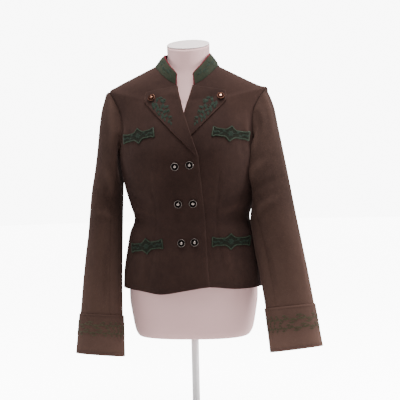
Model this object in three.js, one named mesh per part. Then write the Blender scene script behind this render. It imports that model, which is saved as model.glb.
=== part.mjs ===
// Short brown suede jacket with green embroidered trim, on a limbless dress form with a round foot.
// Millimetres, +Z up, the front faces -Y, and +X is the wearer's left.
// The origin is on the floor, on the axis of the stand's pole.
import * as THREE from 'three';
import { mergeVertices } from 'three/addons/utils/BufferGeometryUtils.js';

// Driving sizes of the cloth
const CLOTH = 2.0;
const COLLAR_CLOTH = 2.4;
const MOTIF_CLOTH = 1.2;
const SEAM_GAP = 0.3;
const LAYER_GAP = 0.35;
const LAPEL_GAP = 0.8;
const LAP_GAP = 0.9;
const CUFF_GAP = 0.6;
const WELD = 1e-4;

// The two fronts: the edge below the break, and the roll line above it, past the foot of the V
const BREAK_HEIGHT = 636;
const BREAK_ACROSS = 35;
const EDGE_SLANT = 0.056;
const V_HEIGHT = 732;
const V_SLANT = 0.28;

// Jacket rings, from the hem (0) past the underarm (8) and the shoulder tips (11) to the neck (14).
// half: half width. front, back: depths from the side line. zFront, zSide, zBack: heights.
// square: fullness of the section, 2 for an ellipse. mid: the side line's place along Y.
const BODY_RINGS = [
  { half: 168, front: 121, back: 117, zFront: 328, zSide: 328, zBack: 327, square: 2.3, mid: 0 },
  { half: 166, front: 119, back: 117, zFront: 364, zSide: 364, zBack: 364, square: 2.3, mid: 0 },
  { half: 157, front: 114, back: 112, zFront: 420, zSide: 420, zBack: 420, square: 2.3, mid: 0 },
  { half: 150, front: 109, back: 103, zFront: 456, zSide: 456, zBack: 456, square: 2.3, mid: 0 },
  { half: 138, front: 105, back: 92, zFront: 492, zSide: 490, zBack: 492, square: 2.3, mid: 0 },
  { half: 147, front: 109, back: 93, zFront: 526, zSide: 524, zBack: 526, square: 2.35, mid: 0 },
  { half: 157, front: 116, back: 98, zFront: 562, zSide: 560, zBack: 562, square: 2.4, mid: 0 },
  { half: 166, front: 125, back: 104, zFront: 610, zSide: 606, zBack: 612, square: 2.4, mid: 0 },
  { half: 170, front: 127, back: 107, zFront: 646, zSide: 642, zBack: 652, square: 2.4, mid: 1 },
  { half: 169, front: 120, back: 108, zFront: 690, zSide: 682, zBack: 705, square: 2.45, mid: 3 },
  { half: 172, front: 106, back: 106, zFront: 728, zSide: 736, zBack: 757, square: 2.3, mid: 5 },
  { half: 191, front: 94, back: 99, zFront: 757, zSide: 795, zBack: 797, square: 1.85, mid: 7 },
  { half: 172, front: 90, back: 94, zFront: 764, zSide: 804.5, zBack: 810, square: 1.87, mid: 7 },
  { half: 136, front: 84, back: 83, zFront: 779, zSide: 822, zBack: 834, square: 1.95, mid: 6 },
  { half: 77, front: 71, back: 62, zFront: 799, zSide: 851, zBack: 866, square: 2, mid: 4 },
];
const UNDERARM = 8;
const SHOULDER_TIP = 11;
const NECK = 14;

// Rows of the cloth grid, as ring numbers
const SKIRT_ROWS = [0, 1, 2, 3, 4, 5, 6, 7];
const ARMHOLE_ROWS = [8, 8.07, 8.25, 8.55, 8.95, 9.4, 9.85, 10.3, 10.65, 10.88, 11];
const SHOULDER_ROWS = [11.5, 12, 12.5, 13, 13.5, 14];
const BODY_ROWS = [...SKIRT_ROWS, ...ARMHOLE_ROWS, ...SHOULDER_ROWS];
const FRONT_COLUMNS = 12;
const BACK_COLUMNS = 9;

// Armhole: how far it is cut into the front and the back, in degrees round the body
const ARMHOLE_FRONT = 27;
const ARMHOLE_BACK = 29;
const ARMHOLE_ROUND = 2.2;

// The shoulders lie a little uneven: shift across, and drop of the left side for each unit across
const LEAN = { across: -4, reach: 77, tilt: 0.027 };

// Bust fullness from the waist darts
const BUST = { out: 7, across: 84, height: 642, wide: 46, tall: 52 };

// The hem's uneven hang at the front: sag of the right front, lift where the fronts lap
const HEM_SAG = { depth: -9, across: -62, wide: 45 };
const HEM_LIFT = { depth: 7, across: 55, wide: 42 };

// Collar: top ring, and the angle at which each end stops at its base and at its top
const COLLAR_TOP = { half: 55.5, front: 61, back: 54, zFront: 829, zSide: 880, zBack: 902, mid: 3 };
const COLLAR_END = { base: 15.6, top: 18.5 };
const COLLAR_SHIFT = -2;
const COLLAR_CORNER = { drop: 7, height: 34, columns: 1.6 };
const COLLAR_BOW = 1.2;
const COLLAR_CROWD = 0.075;
const COLLAR_COLUMNS = 30;
const COLLAR_ROWS = [0, 0.3, 0.62, 0.86, 1];

// Lapel outline as seen from the front, for the wearer's left side
const LAPEL = {
  tipLow: { across: 94, height: 763 },
  tipHigh: { across: 92, height: 787 },
  rollTop: 799,
  lowerShare: 0.87,
  lowerSag: 2,
  tipBelly: 1.5,
  foldStart: 0.015,
  rollBulge: 2.4,
  rollFade: 9,
};
const LAPEL_ROWS = 11;
const LAPEL_COLUMNS = 7;

// Appliqué motifs: place of the middle, length, and slope in degrees towards the side seam
const MOTIFS = {
  right: [
    { name: 'chest', across: 107, height: 685, length: 82, slope: -9 },
    { name: 'hip', across: 95, height: 429, length: 84, slope: -8 },
  ],
  left: [
    { name: 'chest', across: 107, height: 685, length: 82, slope: -9 },
    { name: 'hip', across: 101, height: 437, length: 84, slope: -1 },
  ],
};
const MOTIF_HALF = { bar: 9, end: 11.5, bump: 19 };
const MOTIF_COLUMNS = 16;

// Buttons: rows from the top, with the place of both columns. drop: how much lower the right one
// hangs. sinkRight, sinkLeft: how far each goes down into the dip of the cloth.
const BUTTON_ROWS = [
  { height: 616, right: -19, left: 15, drop: 2.5, sinkRight: 0.35, sinkLeft: 0.65 },
  { height: 527.5, right: -16, left: 18, drop: 0.5, sinkRight: 0.1, sinkLeft: 0.1 },
  { height: 437, right: -10, left: 20, drop: 1.5, sinkRight: 0.3, sinkLeft: 0.1 },
];
const BUTTON_SIDES = 14;
const BUTTON_TURN = Math.PI / 2;
const BUTTON_PROFILE = [
  { radius: 0, rise: 0 },
  { radius: 1.7, rise: 0 },
  { radius: 1.7, rise: 2.1 },
  { radius: 7.6, rise: 2.1 },
  { radius: 9, rise: 3.1 },
  { radius: 8.7, rise: 4.2 },
  { radius: 7.7, rise: 4.0 },
  { radius: 4.6, rise: 3.2 },
  { radius: 3.7, rise: 4.6 },
  { radius: 2.0, rise: 5.3 },
  { radius: 0, rise: 5.4 },
];
const STUD = { right: 77, left: 83, height: 771 };

// Sleeves, from the armhole (0) to the cuff's mouth (13), one row for each section.
// outX, outZ: outer edge. inX, inZ: inner edge. y: middle of the depth. deep: half depth.
// foldFront, foldBack: how far the front and back of the section bend in round the body.
const RIGHT_SLEEVE = [
  { outX: 191, outZ: 795, inX: 170, inZ: 642, y: 4, deep: 66, foldFront: 27, foldBack: 24 },
  { outX: 199.5, outZ: 791, inX: 171.7, inZ: 643.8, y: 4, deep: 68, foldFront: 27, foldBack: 24 },
  { outX: 205, outZ: 775, inX: 173.4, inZ: 641, y: 3, deep: 70, foldFront: 26, foldBack: 22 },
  { outX: 213, outZ: 748, inX: 173.6, inZ: 634, y: 1, deep: 70, foldFront: 25, foldBack: 20 },
  { outX: 219, outZ: 708, inX: 173.6, inZ: 622, y: -1, deep: 69, foldFront: 24, foldBack: 18 },
  { outX: 225, outZ: 655, inX: 171.5, inZ: 603, y: -4, deep: 66, foldFront: 22, foldBack: 14 },
  { outX: 232, outZ: 602, inX: 166, inZ: 572, y: -8, deep: 61, foldFront: 16, foldBack: 8 },
  { outX: 240, outZ: 553, inX: 166, inZ: 534, y: -12, deep: 56, foldFront: 6, foldBack: 3 },
  { outX: 244.5, outZ: 500, inX: 166.5, inZ: 494, y: -17, deep: 52, foldFront: 0, foldBack: 0 },
  { outX: 249, outZ: 435, inX: 166, inZ: 431, y: -30, deep: 47, foldFront: 0, foldBack: 0 },
  { outX: 255, outZ: 368, inX: 165.5, inZ: 364, y: -43, deep: 42, foldFront: 0, foldBack: 0 },
  { outX: 261.5, outZ: 303, inX: 164.5, inZ: 298, y: -54, deep: 38, foldFront: 0, foldBack: 0 },
  { outX: 267, outZ: 243, inX: 162.5, inZ: 237, y: -63, deep: 35, foldFront: 0, foldBack: 0 },
  { outX: 272.5, outZ: 176, inX: 160.5, inZ: 168, y: -72, deep: 33, foldFront: 0, foldBack: 0 },
];
const LEFT_SLEEVE = [
  { outX: 191, outZ: 795, inX: 170, inZ: 642, y: 4, deep: 66, foldFront: 27, foldBack: 24 },
  { outX: 191.5, outZ: 787, inX: 171.7, inZ: 643.8, y: 4, deep: 68, foldFront: 27, foldBack: 24 },
  { outX: 196, outZ: 774.5, inX: 173.4, inZ: 641, y: 3, deep: 70, foldFront: 27, foldBack: 23 },
  { outX: 204, outZ: 748, inX: 173.6, inZ: 634, y: 1, deep: 71, foldFront: 28, foldBack: 22 },
  { outX: 210.5, outZ: 706, inX: 173.6, inZ: 622, y: -3, deep: 71, foldFront: 38, foldBack: 20 },
  { outX: 219.5, outZ: 655, inX: 171.5, inZ: 603, y: -8, deep: 68, foldFront: 45, foldBack: 16 },
  { outX: 229.5, outZ: 602, inX: 165, inZ: 572, y: -14, deep: 62, foldFront: 42, foldBack: 12 },
  { outX: 239, outZ: 553, inX: 154, inZ: 534, y: -22, deep: 54, foldFront: 31, foldBack: 8 },
  { outX: 249.5, outZ: 498, inX: 142.5, inZ: 488, y: -33, deep: 45, foldFront: 10, foldBack: 3 },
  { outX: 263, outZ: 430, inX: 151, inZ: 420, y: -46, deep: 38, foldFront: 0, foldBack: 0 },
  { outX: 276.5, outZ: 361, inX: 164, inZ: 351, y: -57, deep: 34, foldFront: 0, foldBack: 0 },
  { outX: 288, outZ: 295, inX: 175, inZ: 284, y: -66, deep: 31, foldFront: 0, foldBack: 0 },
  { outX: 297, outZ: 240, inX: 182.5, inZ: 228, y: -73, deep: 29, foldFront: 0, foldBack: 0 },
  { outX: 305, outZ: 194, inX: 188, inZ: 179, y: -79, deep: 28, foldFront: 0, foldBack: 0 },
];
const FOLD_POWER = 2.6;
const SLEEVE_CLEAR = 0.8;
const SQUARE_FROM = 3;
const SQUARE_AT = 8;
const SLEEVE_ROWS = [0, 1, 2, 3, 4, 5, 6, 7, 8, 9, 10, 11, 12, 13];
const SLEEVE_END = 13;
const SLEEVE_SQUARE = 2.2;
const ARMHOLE_SHARE = [1, 0.92, 0.74, 0.5, 0.24, 0.08, 0];
const SEAM_FROM_INNER = 4;
const CUFF_TOP = { right: 11.6, left: 11.1 };
const CUFF_STEPS = 3;

// Dress form rings, from the foot of the torso to the neck's slanted cut (flat: 1)
const FORM_RINGS = [
  { half: 120, front: 78, back: 84, zFront: 208, zSide: 208, zBack: 208, square: 2.6, mid: -2, flat: 0 },
  { half: 132, front: 90, back: 96, zFront: 211, zSide: 211, zBack: 211, square: 2.6, mid: -2, flat: 0 },
  { half: 141, front: 97, back: 103, zFront: 221, zSide: 221, zBack: 221, square: 2.5, mid: -2, flat: 0 },
  { half: 150, front: 103, back: 109, zFront: 260, zSide: 260, zBack: 260, square: 2.4, mid: -2, flat: 0 },
  { half: 156, front: 108, back: 111, zFront: 308, zSide: 308, zBack: 308, square: 2.3, mid: -2, flat: 0 },
  { half: 155, front: 108, back: 109, zFront: 360, zSide: 360, zBack: 360, square: 2.3, mid: -1, flat: 0 },
  { half: 143, front: 100, back: 97, zFront: 430, zSide: 430, zBack: 430, square: 2.3, mid: 0, flat: 0 },
  { half: 129, front: 95, back: 82, zFront: 492, zSide: 490, zBack: 492, square: 2.3, mid: 0, flat: 0 },
  { half: 145, front: 104, back: 88, zFront: 562, zSide: 560, zBack: 562, square: 2.3, mid: 0, flat: 0 },
  { half: 153, front: 113, back: 95, zFront: 618, zSide: 614, zBack: 620, square: 2.3, mid: 0, flat: 0 },
  { half: 150, front: 110, back: 96, zFront: 660, zSide: 660, zBack: 668, square: 2.3, mid: 1, flat: 0 },
  { half: 146, front: 99, back: 94, zFront: 706, zSide: 712, zBack: 724, square: 2.3, mid: 4, flat: 0 },
  { half: 152, front: 88, back: 91, zFront: 740, zSide: 755, zBack: 768, square: 2.1, mid: 6, flat: 0 },
  { half: 162, front: 80, back: 84, zFront: 757, zSide: 785.7, zBack: 794.7, square: 1.9, mid: 7, flat: 0 },
  { half: 150, front: 76, back: 76, zFront: 766, zSide: 800.7, zBack: 808.7, square: 1.9, mid: 7, flat: 0 },
  { half: 110, front: 67, back: 66, zFront: 787, zSide: 825.7, zBack: 834.7, square: 1.9, mid: 6, flat: 0 },
  { half: 68, front: 58, back: 54, zFront: 812, zSide: 848.7, zBack: 860.7, square: 2, mid: 4, flat: 0 },
  { half: 50.5, front: 52.5, back: 49, zFront: 842, zSide: 866, zBack: 882, square: 2, mid: 3, flat: 0 },
  { half: 51, front: 51, back: 51, zFront: 885, zSide: 901, zBack: 917, square: 2, mid: 0, flat: 1 },
];
const FORM_ROWS = 30;
const FORM_SIDES = 36;
const NECK_PLATE = 4;
const POLE = { radius: 9, bottom: 14, into: 0.3, sides: 20 };
const FOOT = { radius: 145, edge: 5, hub: 22, rise: 14, sides: 40 };

// Finishes
const suede = finish(0x4a2f27, 0.92, 0);
const sleeveSuede = finish(0x55382e, 0.92, 0);
const greenTrim = finish(0x33412f, 0.9, 0);
const silver = finish(0x9c9790, 0.35, 0.9);
const copper = finish(0x9a6a50, 0.4, 0.9);
const formCloth = finish(0xc9b8b8, 0.85, 0);
const steel = finish(0xd8d4d2, 0.4, 0.6);

function finish(color, roughness, metalness) {
  return new THREE.MeshStandardMaterial({ color, roughness, metalness });
}

// Small numeric helpers
const RAD = Math.PI / 180;
const vec = (x, y, z) => new THREE.Vector3(x, y, z);
const lerp = (a, b, share) => a + (b - a) * share;
const bell = (value, middle, width) => Math.exp(-(((value - middle) / width) ** 2));
const power = (value, exponent) => Math.sign(value) * Math.abs(value) ** exponent;

function smooth(from, to, value) {
  const share = Math.min(1, Math.max(0, (value - from) / (to - from)));
  return share * share * (3 - 2 * share);
}

// A named column of a table at a fractional row, by a spline that never overshoots its rows
function column(table, row, name) {
  const last = table.length - 1;
  const low = Math.min(last - 1, Math.max(0, Math.floor(row)));
  const share = row - low;
  const rise = (index) => table[index + 1][name] - table[index][name];
  const slope = (index) => {
    if (index === 0 || index === last) {
      return rise(Math.min(index, last - 1));
    }
    const [before, after] = [rise(index - 1), rise(index)];
    return before * after <= 0 ? 0 : (2 * before * after) / (before + after);
  };
  const s2 = share * share;
  const s3 = s2 * share;
  return (2 * s3 - 3 * s2 + 1) * table[low][name] + (s3 - 2 * s2 + share) * slope(low)
    + (3 * s2 - 2 * s3) * table[low + 1][name] + (s3 - s2) * slope(low + 1);
}

function sampleRing(table, row) {
  const ring = {};
  for (const name of Object.keys(table[0])) {
    ring[name] = column(table, row, name);
  }
  return ring;
}

// Point of a ring at an angle: 0 is the front, 90 the wearer's left, 180 the back
function ringPoint(ring, angle) {
  const sine = Math.sin(angle * RAD);
  const cosine = Math.cos(angle * RAD);
  const exponent = 2 / ring.square;
  const depth = cosine > 0 ? ring.front : ring.back;
  const x = ring.half * power(sine, exponent);
  const y = ring.mid - depth * power(cosine, exponent);
  const zEnd = cosine > 0 ? ring.zFront : ring.zBack;
  const round = lerp(ring.zSide, zEnd, cosine * cosine);
  const level = ring.zSide - cosine * (ring.zBack - ring.zFront) / 2;
  return vec(x, y, lerp(round, level, ring.flat ?? 0));
}

// Base surface of the jacket's body, with the bust and the hem's hang
function bodyPoint(angle, row) {
  const point = ringPoint(sampleRing(BODY_RINGS, row), angle);
  if (Math.cos(angle * RAD) > 0) {
    const facing = Math.cos(angle * RAD) ** 0.5;
    const swell = bell(Math.abs(point.x), BUST.across, BUST.wide) * bell(point.z, BUST.height, BUST.tall);
    point.y -= BUST.out * swell * facing;
    const hang = HEM_SAG.depth * bell(point.x, HEM_SAG.across, HEM_SAG.wide)
      + HEM_LIFT.depth * bell(point.x, HEM_LIFT.across, HEM_LIFT.wide);
    point.z += hang * facing * (1 - smooth(0, 1.6, row));
  }
  point.z -= point.x * LEAN.tilt * smooth(10.4, 12.6, row);
  point.x += leanAcross(point.x, row);
  return point;
}

// The shift grows from nothing at the front edges to its full size at the sides
function leanAcross(x, row) {
  return LEAN.across * smooth(9, 11, row) * Math.min(1, (x / LEAN.reach) ** 2);
}

function bodyNormal(angle, row) {
  const turn = 0.4;
  const step = 0.02;
  const low = Math.max(0, row - step);
  const high = Math.min(NECK, row + step);
  const around = bodyPoint(angle + turn, row).sub(bodyPoint(angle - turn, row));
  const upward = bodyPoint(angle, high).sub(bodyPoint(angle, low));
  return around.cross(upward).normalize();
}

// Lift of the right front over the left one, and over the left lapel above the break
function lapLift(x, z) {
  const overFront = smooth(-95, -58, x);
  const overLapel = smooth(-80, -38, x) * smooth(585, 628, z) * (1 - smooth(765, 795, z));
  return (CLOTH + LAP_GAP) * (overFront * (1 - smooth(775, 800, z)) + overLapel);
}

function onBody(angle, row, out, lapped) {
  const point = bodyPoint(angle, row);
  const lift = lapped ? lapLift(point.x, point.z) : 0;
  return point.addScaledVector(bodyNormal(angle, row), out + lift);
}

// Ring number and angle of the body's point seen from the front at x and z
function findOnFront(x, z) {
  let low = 0;
  let high = NECK;
  let angle = 0;
  for (let step = 0; step < 40; step += 1) {
    const row = (low + high) / 2;
    const ring = sampleRing(BODY_RINGS, row);
    const across = x - leanAcross(x - leanAcross(x, row), row);
    const share = Math.min(1, Math.abs(across) / ring.half);
    angle = Math.sign(across) * Math.asin(share ** (ring.square / 2)) / RAD;
    if (bodyPoint(angle, row).z < z) {
      low = row;
    } else {
      high = row;
    }
  }
  return { angle, row: (low + high) / 2 };
}

function onFront(x, z, out, lapped) {
  const { angle, row } = findOnFront(x, z);
  return onBody(angle, row, out, lapped);
}

// Distance across at which the body's side stands, at a depth and a height
function sideAcross(side, y, z) {
  let low = 0;
  let high = NECK;
  let across = 0;
  for (let step = 0; step < 30; step += 1) {
    const row = (low + high) / 2;
    const ring = sampleRing(BODY_RINGS, row);
    const ahead = ring.mid - y;
    const share = Math.min(1, Math.abs(ahead) / (ahead > 0 ? ring.front : ring.back));
    const angle = Math.acos(Math.sign(ahead) * share ** (ring.square / 2)) / RAD;
    const point = bodyPoint(side * angle, row);
    across = side * point.x;
    if (point.z < z) {
      low = row;
    } else {
      high = row;
    }
  }
  return across;
}

// Closed solids
function solid(name, positions, triangles, material) {
  const geometry = new THREE.BufferGeometry();
  geometry.setAttribute('position', new THREE.Float32BufferAttribute(positions, 3));
  geometry.setIndex(triangles);
  return meshOf(name, geometry, material);
}

// Merge shared points, drop flat triangles and turn the faces outward
function meshOf(name, source, material) {
  source.deleteAttribute('normal');
  source.deleteAttribute('uv');
  const geometry = mergeVertices(source, WELD);
  const index = geometry.getIndex();
  const place = geometry.getAttribute('position');
  const kept = [];
  let volume = 0;
  for (let face = 0; face < index.count; face += 3) {
    const corners = [index.getX(face), index.getX(face + 1), index.getX(face + 2)];
    if (new Set(corners).size === 3) {
      const [a, b, c] = corners.map((corner) => vec().fromBufferAttribute(place, corner));
      volume += a.dot(b.cross(c));
      kept.push(...corners);
    }
  }
  geometry.setIndex(volume < 0 ? kept.reverse() : kept);
  geometry.computeVertexNormals();
  const mesh = new THREE.Mesh(geometry, material);
  mesh.name = name;
  return mesh;
}

// A wall between an outer and an inner grid of points, rows by columns, closed round its edges.
// A loop also joins its last column to its first.
function wall(name, outer, inner, material, loop = false) {
  const rows = outer.length;
  const columns = outer[0].length;
  const positions = [outer, inner].flat(2).flatMap((point) => point.toArray());
  const triangles = [];
  const number = (layer, row, col) => (layer * rows + row) * columns + (col % columns);
  const quad = (a, b, c, d) => triangles.push(a, b, c, a, c, d);
  const across = loop ? columns : columns - 1;
  for (let row = 0; row < rows - 1; row += 1) {
    for (let col = 0; col < across; col += 1) {
      const [next, above] = [col + 1, row + 1];
      quad(number(0, row, col), number(0, row, next), number(0, above, next), number(0, above, col));
      quad(number(1, row, col), number(1, above, col), number(1, above, next), number(1, row, next));
    }
  }
  for (let col = 0; col < across; col += 1) {
    const top = rows - 1;
    quad(number(0, 0, col), number(1, 0, col), number(1, 0, col + 1), number(0, 0, col + 1));
    quad(number(0, top, col), number(0, top, col + 1), number(1, top, col + 1), number(1, top, col));
  }
  for (let row = 0; !loop && row < rows - 1; row += 1) {
    const end = columns - 1;
    quad(number(0, row, 0), number(0, row + 1, 0), number(1, row + 1, 0), number(1, row, 0));
    quad(number(0, row, end), number(1, row, end), number(1, row + 1, end), number(0, row + 1, end));
  }
  return solid(name, positions, triangles, material);
}

// Move both side edges of a grid inward by half a seam's gap
function trimSeams(grid) {
  for (const row of grid) {
    const last = row.length - 1;
    const start = row[1].clone().sub(row[0]).setLength(SEAM_GAP / 2);
    const end = row[last - 1].clone().sub(row[last]).setLength(SEAM_GAP / 2);
    row[0].add(start);
    row[last].add(end);
  }
  return grid;
}

// Fronts and backs
function edgeAcross(z) {
  if (z < BREAK_HEIGHT) {
    return BREAK_ACROSS + (BREAK_HEIGHT - z) * EDGE_SLANT;
  }
  const share = (z - BREAK_HEIGHT) / (V_HEIGHT - BREAK_HEIGHT);
  return share < 1 ? BREAK_ACROSS * (1 - share) : (V_HEIGHT - z) * V_SLANT;
}

function edgeAngle(row) {
  const ring = sampleRing(BODY_RINGS, row);
  const across = edgeAcross(ring.zFront);
  return Math.sign(across) * Math.asin((Math.abs(across) / ring.half) ** (ring.square / 2)) / RAD;
}

function armholeCut(row, depth) {
  if (row <= UNDERARM || row >= SHOULDER_TIP) {
    return 0;
  }
  const place = (2 * (row - UNDERARM)) / (SHOULDER_TIP - UNDERARM) - 1;
  return depth * (1 - Math.abs(place) ** ARMHOLE_ROUND) ** (1 / ARMHOLE_ROUND);
}

function panelGrid(rows, columns, startAngle, endAngle, out, lapped) {
  return trimSeams(rows.map((row) => {
    const points = [];
    for (let col = 0; col < columns; col += 1) {
      const share = col / (columns - 1);
      points.push(onBody(lerp(startAngle(row), endAngle(row), share), row, out, lapped));
    }
    return points;
  }));
}

function frontGrid(side, out) {
  const start = (row) => -side * edgeAngle(row);
  const end = (row) => side * (90 - armholeCut(row, ARMHOLE_FRONT));
  return panelGrid(BODY_ROWS, FRONT_COLUMNS, start, end, out, side < 0);
}

function backGrid(side, out) {
  const start = (row) => side * (90 + armholeCut(row, ARMHOLE_BACK));
  const end = () => side * 180;
  return panelGrid(BODY_ROWS, BACK_COLUMNS, start, end, out, false);
}

function bodyPanels(side, name) {
  const front = { outer: frontGrid(side, 0), inner: frontGrid(side, -CLOTH) };
  const back = { outer: backGrid(side, 0), inner: backGrid(side, -CLOTH) };
  const meshes = [
    wall(`front_${name}`, front.outer, front.inner, suede),
    wall(`back_${name}`, back.outer, back.inner, suede),
  ];
  return { meshes, front, back };
}

// Armhole loop: from the shoulder tip down the front, under the arm and up the back
function armholeLoop(panels, layer) {
  const first = SKIRT_ROWS.length;
  const rows = ARMHOLE_ROWS.map((_, index) => first + index);
  const last = FRONT_COLUMNS - 1;
  const front = rows.map((row) => panels.front[layer][row][last]);
  const back = rows.map((row) => panels.back[layer][row][0]);
  const middle = (index) => front[index].clone().add(back[index]).multiplyScalar(0.5);
  const top = rows.length - 1;
  const down = front.slice(1, top).reverse();
  return [middle(top), ...down, middle(0), ...back.slice(1, top)];
}

// Sleeves
function sleeveFrame(table, side, row) {
  const s = sampleRing(table, row);
  const outer = vec(side * s.outX, s.y, s.outZ);
  const inner = vec(side * s.inX, s.y, s.inZ);
  const middle = outer.clone().add(inner).multiplyScalar(0.5);
  const across = outer.clone().sub(inner).multiplyScalar(0.5);
  return { middle, across, deep: s.deep, foldFront: s.foldFront, foldBack: s.foldBack };
}

function sleeveAxes(table, side, row) {
  const frame = sleeveFrame(table, side, row);
  const before = sleeveFrame(table, side, Math.max(0, row - 0.5)).middle;
  const after = sleeveFrame(table, side, Math.min(SLEEVE_END, row + 0.5)).middle;
  const along = after.sub(before);
  const u = frame.across.clone().normalize();
  const square = along.cross(u).multiplyScalar(side).normalize();
  const v = vec(0, -1, 0).lerp(square, smooth(SQUARE_FROM, SQUARE_AT, row)).normalize();
  return { ...frame, u, v, width: frame.across.length() };
}

function makeSleeve(table, side, panels) {
  const loop = { outer: armholeLoop(panels, 'outer'), inner: armholeLoop(panels, 'inner') };
  const start = sleeveAxes(table, side, 0);
  const outward = start.u.clone().cross(start.v).multiplyScalar(side);
  const hole = loop.outer.map((point) => {
    const arm = point.clone().sub(start.middle);
    return { u: arm.dot(start.u) / start.width, v: arm.dot(start.v) / start.deep, out: arm.dot(outward) };
  });
  const angles = hole.map((point) => Math.atan2(point.v, point.u));
  const shares = ARMHOLE_SHARE.map((value) => ({ value }));

  // Section at a row, moved out from its own middle by a distance
  function section(row, out) {
    const axes = sleeveAxes(table, side, row);
    const share = row < shares.length - 1 ? column(shares, row, 'value') : 0;
    const round = 2 / SLEEVE_SQUARE;
    const points = angles.map((angle, index) => {
      const v = power(Math.sin(angle), round);
      const fold = v > 0 ? axes.foldFront : axes.foldBack;
      const bend = -fold * Math.abs(v) ** FOLD_POWER;
      return axes.middle.clone()
        .addScaledVector(axes.u, lerp(power(Math.cos(angle), round), hole[index].u, share) * axes.width)
        .addScaledVector(axes.v, lerp(v, hole[index].v, share) * axes.deep)
        .addScaledVector(outward, lerp(bend, hole[index].out, share));
    });
    const count = points.length;
    return points.map((point, index) => {
      const along = points[(index + 1) % count].clone().sub(points[(index + count - 1) % count]);
      const [du, dv] = [along.dot(axes.u), along.dot(axes.v)];
      const length = Math.hypot(du, dv);
      const aside = vec().addScaledVector(axes.u, dv / length).addScaledVector(axes.v, -du / length);
      const push = Math.max(0, intoBody(point), intoBody(point.clone().addScaledVector(aside, -CLOTH)));
      return point.clone().addScaledVector(aside, out).add(vec(side * push, 0, 0));
    });
  }

  // How far a point must move out to stand clear of the body's side
  function intoBody(point) {
    return sideAcross(side, point.y, point.z) + SLEEVE_CLEAR - side * point.x;
  }

  // The first section stands just clear of the armhole's edge
  function armholeSection(layer) {
    return loop[layer].map((point) => {
      const toHole = start.middle.clone().sub(point).setX(0).setLength(SEAM_GAP);
      return point.clone().add(toHole).add(vec(side * LAYER_GAP, 0, 0));
    });
  }

  const grid = (layer, out) => SLEEVE_ROWS.map((row) => (
    row === 0 ? armholeSection(layer) : section(row, out)
  ));
  return { outer: grid('outer', 0), inner: grid('inner', -CLOTH), section };
}

// Columns of a closed grid from one to another, with the seam edges trimmed
function strip(grid, from, to) {
  const count = grid[0].length;
  return trimSeams(grid.map((row) => {
    const points = [];
    for (let col = from; col <= to; col += 1) {
      points.push(row[(col + count) % count].clone());
    }
    return points;
  }));
}

function sleevePieces(sleeve, name) {
  const count = sleeve.outer[0].length;
  const innerColumn = count / 2;
  const front = innerColumn - SEAM_FROM_INNER;
  const back = innerColumn + SEAM_FROM_INNER;
  const piece = (label, from, to) => wall(
    `sleeve_${name}_${label}`, strip(sleeve.outer, from, to), strip(sleeve.inner, from, to), sleeveSuede);
  return [piece('upper', back - count, front), piece('under', front, back)];
}

// The cuff band lies on the sleeve's end
function cuff(sleeve, name) {
  const top = CUFF_TOP[name];
  const layer = (out) => {
    const rows = [];
    for (let step = 0; step <= CUFF_STEPS; step += 1) {
      rows.push(sleeve.section(lerp(top, SLEEVE_END, step / CUFF_STEPS), out));
    }
    return rows;
  };
  return wall(`cuff_${name}`, layer(CUFF_GAP + CLOTH), layer(CUFF_GAP), sleeveSuede, true);
}

// Stand collar
function collarPoint(share, rise) {
  const end = lerp(COLLAR_END.base, COLLAR_END.top, rise);
  const angle = lerp(end, 360 - end, share);
  const base = bodyPoint(angle, NECK);
  const top = ringPoint({ ...COLLAR_TOP, square: 2 }, angle).add(vec(COLLAR_SHIFT, 0, 0));
  const foot = base.clone().add(top.clone().sub(base).setLength(SEAM_GAP + LAYER_GAP / 2));
  const bow = Math.sin(Math.PI * rise) * COLLAR_BOW;
  const out = vec(base.x, base.y, 0).normalize();
  return foot.lerp(top, rise).addScaledVector(out, bow);
}

// Height share at which the collar's rounded front corner stops
function collarHeight(share) {
  const fromEnd = Math.min(share, 1 - share) * COLLAR_COLUMNS;
  const round = Math.min(1, fromEnd / COLLAR_CORNER.columns);
  const drop = 1 - Math.sqrt(1 - (1 - round) ** 2);
  return 1 - (drop * COLLAR_CORNER.drop) / COLLAR_CORNER.height;
}

function collar() {
  const layer = (out) => COLLAR_ROWS.map((rise) => {
    const points = [];
    for (let col = 0; col <= COLLAR_COLUMNS; col += 1) {
      const share = collarShare(col);
      const at = rise * collarHeight(share);
      const step = 0.004;
      const [before, after] = [Math.max(0, share - step), Math.min(1, share + step)];
      const around = collarPoint(after, at).sub(collarPoint(before, at));
      const upward = collarPoint(share, at + step).sub(collarPoint(share, at - step));
      const normal = around.cross(upward).normalize();
      points.push(collarPoint(share, at).addScaledVector(normal, out));
    }
    return points;
  });
  return wall('collar', layer(0), layer(-COLLAR_CLOTH), greenTrim);
}

// Columns stand closer at the collar's ends
function collarShare(col) {
  const even = col / COLLAR_COLUMNS;
  return even - Math.sin(2 * Math.PI * even) * COLLAR_CROWD;
}

// Lapels: each lies on its front, from the roll line to its outer edge
function lapelOutline(share) {
  const { tipLow, tipHigh, lowerShare } = LAPEL;
  if (share <= lowerShare) {
    const along = share / lowerShare;
    const sag = Math.sin(Math.PI * along) * LAPEL.lowerSag;
    return {
      across: lerp(1.5 - BREAK_ACROSS, tipLow.across, along) + sag,
      height: lerp(BREAK_HEIGHT, tipLow.height, along) - sag,
    };
  }
  const along = (share - lowerShare) / (1 - lowerShare);
  const belly = Math.sin(Math.PI * along) * LAPEL.tipBelly;
  return {
    across: lerp(tipLow.across, tipHigh.across, along) + belly,
    height: lerp(tipLow.height, tipHigh.height, along),
  };
}

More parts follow.
